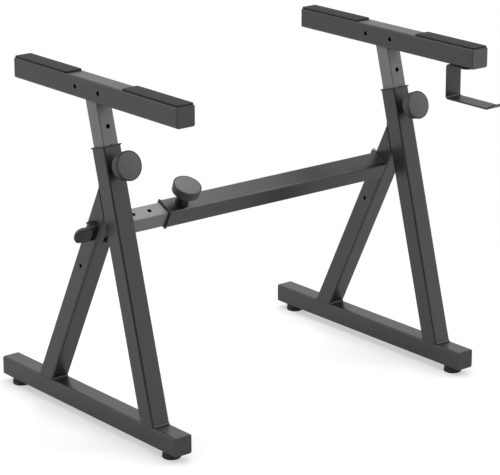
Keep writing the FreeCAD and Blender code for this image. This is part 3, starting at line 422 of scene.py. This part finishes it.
@dataclass
class NodeFinishes:
    """Which finish each CAD node gets.

    Args:
        by_ending: Ending of a node's name to its finish; the longest ending that fits is used.
    """

    by_ending: dict[str, Finish] = field(default_factory=lambda: {
        "base_tube": FRAME_PAINT, "upright": FRAME_PAINT, "rear_leg": FRAME_PAINT, "frame_welds": FRAME_PAINT,
        "arm": FRAME_PAINT, "arm_weld": FRAME_PAINT, "outer_tube": FRAME_PAINT, "bar_bracket": FRAME_PAINT,
        "hinge_leaf": FRAME_PAINT, "height_tube": SLIDE_PAINT, "inner_tube": SLIDE_PAINT,
        "end_caps": CAP_PLASTIC, "collar": BLACK_PLASTIC, "glide": BLACK_PLASTIC,
        "latch_housing": BLACK_PLASTIC, "latch_lever": LEVER_PLASTIC, "lock_knob": KNOB_BODY,
        "arm_pads": PAD_RUBBER, "feet": FOOT_RUBBER, "foot_screws": ZINC, "hinge_pin": ZINC,
        # the lock barrel gets the near-black painted shade of the shadow under its knob
        "lever_pin": ZINC, "latch_pin": ZINC, "lock_pin": ZINC, "spring": ZINC, "lock_barrel": BARREL_PAINTED_SHADE,
        "hanger_bracket": HANGER_PAINT, "hanger_bolt": ZINC,
    })

    def finish_for(self, node: str) -> Finish:
        """Finish of a node, by the longest ending that fits."""
        endings = [ending for ending in self.by_ending if node.endswith(ending)]
        return self.by_ending[max(endings, key=len)]

    def dress(self, nodes: dict[str, bpy.types.Object]) -> None:
        """Give every CAD node its finish.

        Args:
            nodes: Node name to its object.
        """
        for name, node in nodes.items():
            finish = self.finish_for(name)
            node.data.materials.clear()
            node.data.materials.append(finish.material())
            LOG.info("node %s wears %s", name, finish.name)


# ---------------------------------------------------------------- making meshes
def finished_piece(name: str, mesh: bpy.types.Mesh, finish: Finish, body: str,
                   stands_for: tuple[str, ...] = (), smooth_below: float = 35.0) -> bpy.types.Object:
    """Turn a mesh that is already in place into a piece of the stand.

    Args:
        name: Name of the piece.
        mesh: Its mesh, in the stand's frame.
        finish: Its finish.
        body: Body that it rides on.
        stands_for: CAD nodes that it replaces.
        smooth_below: Edges with a smaller angle than this, in degrees, are shaded smooth.

    Returns:
        The piece.
    """
    piece = bpy.data.objects.new(name, mesh)
    bpy.context.collection.objects.link(piece)
    mesh.materials.clear()
    mesh.materials.append(finish.material())
    mesh.shade_smooth()
    mesh.set_sharp_from_angle(angle=math.radians(smooth_below))
    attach(piece, body)
    if stands_for:
        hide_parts(*stands_for)
    LOG.info("piece %s rides on %s, %d faces", name, body, len(mesh.polygons))
    return piece


def joined(name: str, parts: list[tuple[bpy.types.Mesh, Matrix]]) -> bpy.types.Mesh:
    """One mesh from several, each put in its place.

    Args:
        name: Name of the new mesh.
        parts: Meshes with the matrix that places each.

    Returns:
        The joined mesh, with its faces pointing outwards.
    """
    builder = bmesh.new()
    for mesh, place in parts:
        before = len(builder.verts)
        builder.from_mesh(mesh)
        builder.verts.ensure_lookup_table()
        bmesh.ops.transform(builder, matrix=place, verts=builder.verts[before:])
    bmesh.ops.remove_doubles(builder, verts=builder.verts, dist=1e-7)
    bmesh.ops.recalc_face_normals(builder, faces=builder.faces)
    result = bpy.data.meshes.new(name)
    builder.to_mesh(result)
    builder.free()
    return result


def turned_mesh(name: str, profile: list[tuple[float, float]], steps: int = 96) -> bpy.types.Mesh:
    """Solid of revolution about Z.

    Args:
        name: Name of the mesh.
        profile: (radius, height) points in millimetres; a radius of 0 closes an end.
        steps: Segments round the axis.

    Returns:
        The mesh, around Z.
    """
    builder = bmesh.new()
    corners = [builder.verts.new((radius * MM, 0.0, height * MM)) for radius, height in profile]
    edges = [builder.edges.new(pair) for pair in zip(corners, corners[1:])]
    bmesh.ops.spin(builder, geom=corners + edges, cent=(0, 0, 0), axis=(0, 0, 1), angle=math.tau, steps=steps)
    bmesh.ops.remove_doubles(builder, verts=builder.verts, dist=1e-6)
    bmesh.ops.recalc_face_normals(builder, faces=builder.faces)
    result = bpy.data.meshes.new(name)
    builder.to_mesh(result)
    builder.free()
    return result


def aligned(start: Vector, end: Vector) -> Matrix:
    """Matrix that lays a piece drawn about Z between two points, middle on middle."""
    turn = (end - start).to_track_quat("Z", "Y").to_matrix().to_4x4()
    return Matrix.Translation((start + end) / 2) @ turn


class Repeater:
    """Base of the Geometry Nodes trees that make repeated or rule-shaped pieces."""

    def __init__(self, name: str, sizes: dict[str, float]) -> None:
        """Make the tree with its named inputs.

        Args:
            name: Name of the tree.
            sizes: Input name to its default, in metres or as a count.
        """
        self.tree = bpy.data.node_groups.new(name, "GeometryNodeTree")
        self.graph = Graph(self.tree)
        self.tree.interface.new_socket("Material", in_out="INPUT", socket_type="NodeSocketMaterial")
        for size, default in sizes.items():
            kind = "NodeSocketInt" if isinstance(default, int) else "NodeSocketFloat"
            self.tree.interface.new_socket(size, in_out="INPUT", socket_type=kind).default_value = default
        self.tree.interface.new_socket("Geometry", in_out="OUTPUT", socket_type="NodeSocketGeometry")
        self.inputs = self.graph.node("NodeGroupInput")
        self.close(self.shape())

    def given(self, name: str) -> Wire:
        """Wire from a named input."""
        return self.graph.wire(self.inputs, name)

    def shape(self) -> Wire:
        """Geometry of the tree before instances are realised."""
        raise NotImplementedError

    def close(self, geometry: Wire) -> None:
        """End the tree in Realize Instances and Set Material.

        Args:
            geometry: What the tree has made.
        """
        real = self.graph.node("GeometryNodeRealizeInstances", {}, {"Geometry": geometry})
        values = {"Geometry": self.graph.wire(real), "Material": self.given("Material")}
        painted = self.graph.node("GeometryNodeSetMaterial", {}, values)
        self.graph.node("NodeGroupOutput", {}, {"Geometry": self.graph.wire(painted)})

    def mesh(self, finish: Finish, **sizes: float) -> bpy.types.Mesh:
        """Evaluate the tree.

        Args:
            finish: Finish that the tree sets.
            **sizes: Values for the named inputs, underscores for spaces.

        Returns:
            A plain mesh.
        """
        carrier = bpy.data.objects.new("carrier", bpy.data.meshes.new("carrier"))
        bpy.context.collection.objects.link(carrier)
        modifier = carrier.modifiers.new("shape", "NODES")
        modifier.node_group = self.tree
        sockets = {item.name: item.identifier for item in self.tree.interface.items_tree
                   if item.in_out == "INPUT"}
        modifier[sockets["Material"]] = finish.material()
        for name, value in sizes.items():
            modifier[sockets[name.replace("_", " ")]] = value
        graph = bpy.context.evaluated_depsgraph_get()
        result = bpy.data.meshes.new_from_object(carrier.evaluated_get(graph))
        bpy.data.objects.remove(carrier)
        return result


class RippledBead(Repeater):
    """A weld bead along Z whose ripples follow the torch."""

    def __init__(self) -> None:
        """Name the bead's sizes."""
        super().__init__("rippled_bead", {"Length": 0.036, "Radius": 0.003, "Ripple": 0.0021, "Depth": 0.09,
                                          "Rings": 96})

    def shape(self) -> Wire:
        """A cylinder whose radius follows the ripples and closes at both ends.

        Returns:
            The bead, around Z.
        """
        graph = self.graph
        values = {"Vertices": 20, "Side Segments": self.given("Rings"), "Radius": self.given("Radius"),
                  "Depth": self.given("Length")}
        cylinder = graph.node("GeometryNodeMeshCylinder", {}, values)
        position = graph.wire(graph.node("GeometryNodeInputPosition"))
        split = graph.node("ShaderNodeSeparateXYZ", {}, {0: position})
        along = graph.wire(split, "Z")
        ripple = (along * math.tau / self.given("Ripple")).cosine() * self.given("Depth")
        ends = (1 - (along * 2 / self.given("Length")).magnitude() ** 14).at_least(0.04) ** 0.5
        grow = (ripple + 1) * ends
        values = {"X": graph.wire(split, "X") * grow, "Y": graph.wire(split, "Y") * grow, "Z": along}
        place = graph.wire(graph.node("ShaderNodeCombineXYZ", {}, values))
        values = {"Geometry": graph.wire(cylinder), "Position": place}
        return graph.wire(graph.node("GeometryNodeSetPosition", {}, values))


class RibRing(Repeater):
    """Ribs round Z, such as the grip of a threaded barrel."""

    def __init__(self) -> None:
        """Name the ring's sizes."""
        super().__init__("rib_ring", {"Ribs": 30, "Radius": 0.011, "Width": 0.0011, "Height": 0.009,
                                      "Relief": 0.0009})

    def shape(self) -> Wire:
        """Small blocks on the points of a circle, each facing outwards.

        Returns:
            The ribs, around Z.
        """
        graph = self.graph
        circle = graph.node("GeometryNodeMeshCircle", {}, {"Vertices": self.given("Ribs"),
                                                            "Radius": self.given("Radius")})
        size = {"X": self.given("Relief"), "Y": self.given("Width"), "Z": self.given("Height")}
        values = {"Size": graph.wire(graph.node("ShaderNodeCombineXYZ", {}, size)), "Vertices X": 3,
                  "Vertices Y": 3, "Vertices Z": 4}
        rib = graph.node("GeometryNodeMeshCube", {}, values)
        outwards = graph.node("FunctionNodeAlignRotationToVector", {"axis": "X"},
                              {"Vector": graph.wire(graph.node("GeometryNodeInputPosition"))})
        values = {"Points": graph.wire(circle), "Instance": graph.wire(rib), "Rotation": graph.wire(outwards)}
        return graph.wire(graph.node("GeometryNodeInstanceOnPoints", {}, values))


# ---------------------------------------------------------------- sub-assemblies
@dataclass
class WeldBeads:
    """Rippled beads where the tubes of a side frame and of an arm meet.

    Args:
        tube: Half width of a frame tube, in metres.
        slide: Half width of the height tube.
        length: Length of a bead across X.
        radius: Radius of a frame bead.
        arm_radius: Radius of a bead under the arm.
        sink: How far a bead's middle lies from the corner, as a share of its radius.
        track: Distance of a side frame's middle from the stand's middle.
        base_top: Height of the base tube's upper face.
        leg_foot_y: Where the leg's axis meets that face.
        arm_bottom: Height of the arm's underside.
        arm_shorter: How much shorter a bead under the arm is.
    """

    tube: float = TUBE_HALF
    slide: float = 0.017
    length: float = 0.036
    radius: float = 0.0030
    arm_radius: float = 0.0022
    sink: float = 0.35
    track: float = TRACK_HALF
    base_top: float = 0.052
    leg_foot_y: float = 0.173498
    arm_bottom: float = 0.6425
    arm_shorter: float = 0.006

    def frame_corners(self) -> list[tuple[Vector, Vector]]:
        """Where a side frame's beads lie, on its middle plane.

        Returns:
            Corner points, each with the direction out of the corner.
        """
        up = UPRIGHT.matrix().to_3x3() @ Vector((0, 0, 1))
        leg_up = LEG.matrix().to_3x3() @ Vector((0, 0, 1))
        upright_y = UPRIGHT.origin[1]
        upright_half = self.tube / math.cos(math.radians(UPRIGHT.tilt))
        leg_half = self.tube / math.cos(math.radians(LEG.tilt))
        front, rear = Vector((0, -1, 0)), Vector((0, 1, 0))
        return [
            (Vector((0, upright_y - upright_half, self.base_top)), front + up),
            (Vector((0, upright_y + upright_half, self.base_top)), rear + up),
            (Vector((0, self.leg_foot_y - leg_half, self.base_top)), front + leg_up),
            (Vector((0, self.leg_foot_y + leg_half, self.base_top)), rear + leg_up),
            (self.leg_head(-1), -up - leg_up),
            (self.leg_head(1), up - leg_up),
        ]

    def leg_head(self, side: int) -> Vector:
        """Where one face of the leg meets the upright's rear face.

        Args:
            side: -1 for the leg's front face, 1 for its rear face.

        Returns:
            The meeting point, on the frame's middle plane.
        """
        lean, slope = math.radians(-UPRIGHT.tilt), math.radians(LEG.tilt)
        leg_y = self.leg_foot_y + side * self.tube / math.cos(slope)
        upright_y = UPRIGHT.origin[1] + self.tube / math.cos(lean)
        rise = (leg_y - upright_y) / (math.tan(slope) + math.tan(lean))
        return Vector((0, upright_y + rise * math.tan(lean), self.base_top + rise))

    def arm_corners(self) -> list[tuple[Vector, Vector]]:
        """Where the beads under an arm lie, on its middle plane.

        Returns:
            Corner points, each with the direction out of the corner.
        """
        lean = math.radians(-UPRIGHT.tilt)
        down = UPRIGHT.matrix().to_3x3() @ Vector((0, 0, -1))
        middle = UPRIGHT.origin[1] + (self.arm_bottom - self.base_top) * math.tan(lean)
        half = self.slide / math.cos(lean)
        return [(Vector((0, middle - half, self.arm_bottom)), Vector((0, -1, 0)) + down),
                (Vector((0, middle + half, self.arm_bottom)), Vector((0, 1, 0)) + down)]

    def build(self, side: Side) -> None:
        """Make the beads of one side frame and its arm.

        Args:
            side: Side of the stand.
        """
        bead = RippledBead()
        x = Vector((side.sign * self.track, 0, 0))
        across = Vector((1, 0, 0))
        for corners, radius, body, node in (
                (self.frame_corners(), self.radius, "frame", "frame_welds"),
                (self.arm_corners(), self.arm_radius, "arm", "arm_weld")):
            length = self.length if node == "frame_welds" else self.length - self.arm_shorter
            mesh = bead.mesh(FRAME_PAINT, Length=length, Radius=radius)
            parts = []
            for corner, outwards in corners:
                middle = x + corner + outwards.normalized() * radius * self.sink
                parts.append((mesh, aligned(middle - across, middle + across)))
            name = f"{side.value}_{node}_beads"
            finished_piece(name, joined(name, parts), FRAME_PAINT, f"{side.value}_{body}",
                           (f"{side.value}_{node}",), smooth_below=60.0)


@dataclass
class GripStrips:
    """Rubber strips on an arm, with rounded corners and a rounded upper edge.

    Args:
        height: Thickness, in metres.
        corner: Corner radius in plan.
        edge: Rounding of the upper edge.
    """

    height: float = 0.003
    corner: float = 0.004
    edge: float = 0.0009

    def strip(self, low: Vector, high: Vector) -> bpy.types.Mesh:
        """One strip inside a box.

        Args:
            low: Lowest corner of the strip's box.
            high: Its highest corner.

        Returns:
            The strip's mesh, in place.
        """
        builder = bmesh.new()
        middle, half = (low + high) / 2, (high - low) / 2
        rings = [(0.0, 0.0), (0.0, self.height - self.edge)]
        for step in range(1, 5):
            turn = step * math.pi / 8
            rings.append((self.edge * (1 - math.cos(turn)), self.height - self.edge * (1 - math.sin(turn))))
        loops = [self._ring(builder, half, inset, middle, low.z + rise) for inset, rise in rings]
        for lower, upper in zip(loops, loops[1:]):
            for i, corner in enumerate(lower):
                j = (i + 1) % len(lower)
                builder.faces.new((corner, lower[j], upper[j], upper[i]))
        builder.faces.new(loops[0])
        builder.faces.new(loops[-1])
        bmesh.ops.recalc_face_normals(builder, faces=builder.faces)
        result = bpy.data.meshes.new("strip")
        builder.to_mesh(result)
        builder.free()
        return result

    def _ring(self, builder: bmesh.types.BMesh, half: Vector, inset: float, middle: Vector,
              z: float) -> list[bmesh.types.BMVert]:
        """Rounded rectangle of vertices at one height.

        Args:
            builder: Mesh that gets the vertices.
            half: Half sizes of the strip's box.
            inset: How far the rectangle lies inside the box.
            middle: Middle of the box.
            z: Height of the rectangle.

        Returns:
            The vertices, in order.
        """
        radius = self.corner - inset
        verts = []
        for quarter, (sx, sy) in enumerate(((1, 1), (-1, 1), (-1, -1), (1, -1))):
            centre = Vector((sx * (half.x - self.corner), sy * (half.y - self.corner)))
            for step in range(9):
                turn = (quarter + step / 8) * math.pi / 2
                verts.append(builder.verts.new((middle.x + centre.x + radius * math.cos(turn),
                                                middle.y + centre.y + radius * math.sin(turn), z)))
        return verts

    def build(self, side: Side) -> None:
        """Make both strips of one arm in the space of its CAD pads.

        Args:
            side: Side of the stand.
        """
        node = f"{side.value}_arm_pads"
        low, high = (Vector(corner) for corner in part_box(node))
        front_end, rear_start = low.y + FRONT_PAD_LENGTH, high.y - REAR_PAD_LENGTH
        boxes = ((low, Vector((high.x, front_end, high.z))), (Vector((low.x, rear_start, low.z)), high))
        parts = [(self.strip(*box), Matrix.Identity(4)) for box in boxes]
        name = f"{side.value}_grip_strips"
        finished_piece(name, joined(name, parts), PAD_RUBBER, f"{side.value}_arm", (node,))


@dataclass
class PullKnob:
    """Round pull knob: a drafted grip band, an undercut for the fingers and a separate face disc.

    Args:
        body: Body that the knob rides on.
        node: CAD node that it replaces.
        wall: Point of the tube wall on the knob's axis.
        outwards: Axis of the knob, out of the wall.
    """

    body: str
    node: str
    wall: Vector
    outwards: Vector

    def place(self) -> Matrix:
        """Matrix that stands a piece drawn up Z on the wall."""
        turn = self.outwards.to_track_quat("Z", "Y").to_matrix().to_4x4()
        return Matrix.Translation(self.wall) @ turn

    def build(self) -> None:
        """Make the knob's body and its face disc."""
        body_profile = [
            (4.0, 18.4), (11.9, 18.4), (12.5, 19.0), (12.5, 20.4), (13.2, 21.0), (25.2, 25.3), (26.3, 25.7),
            (26.85, 26.4), (27.05, 27.3), (28.2, 41.6), (28.35, 42.4), (28.1, 43.2), (27.5, 43.7),
            (26.9, 43.75), (26.55, 43.45), (26.4, 42.9), (4.0, 42.9), (4.0, 18.4)]
        face_profile = [(0.0, 42.8), (26.0, 42.8), (26.0, 43.45), (25.75, 43.8), (25.2, 43.95), (0.0, 44.0)]
        name = self.node.replace("lock_knob", "pull_knob")
        knob = joined(name, [(turned_mesh("knob", body_profile), self.place())])
        finished_piece(name, knob, KNOB_BODY, self.body, (self.node,), smooth_below=30.0)
        name += "_face"
        face = joined(name, [(turned_mesh("face", face_profile), self.place())])
        # The face disc wears the lighter copy of the knob's plastic: painted light on the face.
        finished_piece(name, face, KNOB_FACE_LIT, self.body, smooth_below=30.0)


@dataclass
class BarrelGrip:
    """Ribs round a spring lock's barrel, for turning it into the tube wall.

    Args:
        knob: Knob of the same lock.
        body: Body that the barrel rides on.
        height: Length of the ribs along the barrel, in metres.
    """

    knob: PullKnob
    body: str
    height: float = 0.010

    def build(self) -> None:
        """Make the ribs in place."""
        # The ribs get the barrel's near-black painted shade, which stands for the shadow under the knob.
        ring = RibRing().mesh(BARREL_PAINTED_SHADE, Height=self.height)
        lift = Matrix.Translation((0, 0, BARREL_FOOT_TOP + self.height / 2))
        name = self.knob.node.replace("lock_knob", "barrel_ribs")
        ribs = joined(name, [(ring, self.knob.place() @ lift)])
        finished_piece(name, ribs, BARREL_PAINTED_SHADE, self.body)


# ---------------------------------------------------------------- studio
@dataclass
class Studio:
    """Floor, soft light and camera.

    Args:
        camera_at: Place of the camera, in metres.
        camera_aim: Point in the middle of the picture.
        camera_roll: Roll of the camera, in degrees.
        lens: Focal length on a 36 mm sensor.
        surround: Brightness of the studio walls.
        flag: Brightness of the dark flag round the camera.
    """

    camera_at: tuple[float, float, float] = (-2.77785, -3.43544, 1.67891)
    camera_aim: tuple[float, float, float] = (-0.09055, -0.11131, 0.350)
    camera_roll: float = -0.155
    lens: float = 168.19
    surround: float = 0.78
    flag: float = 0.08

    def build(self) -> None:
        """Make the whole studio."""
        self.floor()
        self.world()
        self.lamps()
        self.camera()
        bpy.context.scene.view_settings.view_transform = "Standard"

    def camera(self) -> None:
        """Stand the camera where the photographer stood."""
        data = bpy.data.cameras.new("camera")
        data.lens = self.lens
        data.sensor_width = 36.0
        data.clip_start, data.clip_end = 0.1, 60.0
        camera = bpy.data.objects.new("camera", data)
        bpy.context.collection.objects.link(camera)
        towards = Vector(self.camera_aim) - Vector(self.camera_at)
        turn = towards.to_track_quat("-Z", "Y").to_matrix().to_4x4()
        roll = Matrix.Rotation(math.radians(self.camera_roll), 4, "Z")
        camera.matrix_world = Matrix.Translation(self.camera_at) @ turn @ roll
        bpy.context.scene.camera = camera

    def towards_camera(self) -> tuple[float, float, float]:
        """Level direction from the stand to the camera."""
        camera = Vector(self.camera_at) - Vector(self.camera_aim)
        return tuple(Vector((camera.x, camera.y, 0.0)).normalized())

    def lamps(self) -> None:
        """Three large soft boxes: overhead, left and right."""
        # name, place, aim, size in metres, power in watts
        plan = (("overhead", (0.2, 0.5, 3.2), (0, 0, 0.3), 2.6, 46.0),
                ("left_box", (-3.0, 1.2, 1.8), (0, 0, 0.35), 1.9, 15.0),
                ("right_box", (2.3, -2.2, 3.0), (0, 0, 0.35), 1.6, 30.0))
        for name, place, aim, size, power in plan:
            data = bpy.data.lights.new(name, "AREA")
            data.shape, data.size, data.energy = "SQUARE", size, power
            lamp = bpy.data.objects.new(name, data)
            bpy.context.collection.objects.link(lamp)
            turn = (Vector(aim) - Vector(place)).to_track_quat("-Z", "Y").to_matrix().to_4x4()
            lamp.matrix_world = Matrix.Translation(place) @ turn

    def world(self) -> None:
        """White to the camera; grey walls with a dark flag towards the photographer for everything else."""
        world = bpy.data.worlds.new("studio")
        bpy.context.scene.world = world
        world.use_nodes = True
        graph = Graph(world.node_tree)
        ray = graph.node("ShaderNodeLightPath")
        towards = graph.wire(graph.node("ShaderNodeTexCoord"), "Generated")
        values = {0: towards, 1: self.towards_camera()}
        facing = graph.wire(graph.node("ShaderNodeVectorMath", {"operation": "DOT_PRODUCT"}, values), "Value")
        walls = self.surround - facing.band(0.72, 0.97) * (self.surround - self.flag)
        strength = graph.wire(ray, "Is Camera Ray") * (1 - walls) + walls
        white = graph.node("ShaderNodeBackground", {}, {"Color": (1, 1, 1, 1), "Strength": strength})
        graph.node("ShaderNodeOutputWorld", {}, {"Surface": graph.wire(white)})

    def floor(self) -> None:
        """Pale floor that keeps the stand's shadow and fades into the white background."""
        builder = bmesh.new()
        bmesh.ops.create_circle(builder, cap_ends=True, segments=96, radius=6.0)
        mesh = bpy.data.meshes.new("floor")
        builder.to_mesh(mesh)
        builder.free()
        floor = bpy.data.objects.new("floor", mesh)
        bpy.context.collection.objects.link(floor)
        mesh.materials.append(self.floor_material())

    def floor_material(self) -> bpy.types.Material:
        """White sheet with the contact shadow; reflections see it darker near the stand and by the camera.

        Returns:
            The floor's material.
        """
        material = bpy.data.materials.new("studio_floor")
        material.use_nodes = True
        graph = Graph(material.node_tree)
        where = graph.wire(graph.node("ShaderNodeTexCoord"), "Object")
        length = graph.node("ShaderNodeVectorMath", {"operation": "LENGTH"}, {0: where})
        distance = graph.wire(length, "Value")
        seen = graph.wire(graph.node("ShaderNodeLightPath"), "Is Camera Ray")
        away = distance.band(0.55, 1.3) * seen
        paper = graph.node("ShaderNodeBsdfDiffuse", {}, {"Color": (0.55, 0.55, 0.55, 1)})
        bright_side = self.direction(graph, where, FRONT_RIGHT).band(0.3, 0.95)
        fill = bright_side * distance.band(0.9, 2.4) * 0.75 + 0.10
        glow = graph.node("ShaderNodeEmission", {}, {"Strength": seen * 0.45 + (1 - seen) * fill})
        lit = graph.node("ShaderNodeAddShader", {}, {0: graph.wire(paper), 1: graph.wire(glow)})
        white = graph.node("ShaderNodeEmission", {}, {"Strength": 1.0})
        mixed = graph.node("ShaderNodeMixShader", {}, {0: away, 1: graph.wire(lit), 2: graph.wire(white)})
        camera_side = self.direction(graph, where, self.towards_camera()).band(0.35, 0.72)
        sector = camera_side * distance.band(0.75, 1.15)
        near = (1 - distance.band(0.6, 2.2)) * 0.12
        dark = (sector + near) * (1 - seen)
        night = graph.node("ShaderNodeBsdfDiffuse", {}, {"Color": (0.01, 0.01, 0.01, 1)})
        values = {0: dark, 1: graph.wire(mixed), 2: graph.wire(night)}
        surface = graph.wire(graph.node("ShaderNodeMixShader", {}, values))
        graph.node("ShaderNodeOutputMaterial", {}, {"Surface": surface})
        return material

    @staticmethod
    def direction(graph: Graph, where: Wire, level: tuple[float, float, float]) -> Wire:
        """Cosine between the way from the middle to a place and a level direction.

        Args:
            graph: Graph of the floor's material.
            where: Object coordinates of the place.
            level: Unit vector of the level direction.

        Returns:
            The cosine, from -1 to 1.
        """
        unit = graph.wire(graph.node("ShaderNodeVectorMath", {"operation": "NORMALIZE"}, {0: where}))
        dot = graph.node("ShaderNodeVectorMath", {"operation": "DOT_PRODUCT"}, {0: unit, 1: level})
        return graph.wire(dot, "Value")


def main() -> None:
    """Dress the stand and build the studio."""
    logging.basicConfig(level=logging.INFO, format="%(name)s: %(message)s")
    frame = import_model()
    NodeFinishes().dress(frame["nodes"])
    out_of_upright = UPRIGHT.matrix().to_3x3() @ Vector((0, -1, 0))
    out_of_bar = LEG.matrix().to_3x3() @ Vector((0, 0, 1))
    bar_lock = LEG.point(BAR_LOCK_X, 0, TUBE_HALF)
    knobs = [(PullKnob("crossbar_knob", "crossbar_lock_knob", bar_lock, out_of_bar), "crossbar")]
    for side in Side:
        wall = UPRIGHT.point(side.sign * TRACK_HALF, -TUBE_HALF, UPRIGHT_LOCK)
        knob = PullKnob(f"{side.value}_knob", f"{side.value}_lock_knob", wall, out_of_upright)
        knobs.append((knob, f"{side.value}_frame"))
        WeldBeads().build(side)
        GripStrips().build(side)
    for knob, carrier in knobs:
        knob.build()
        BarrelGrip(knob, carrier).build()
    Studio().build()


if __name__ == "__main__":
    main()
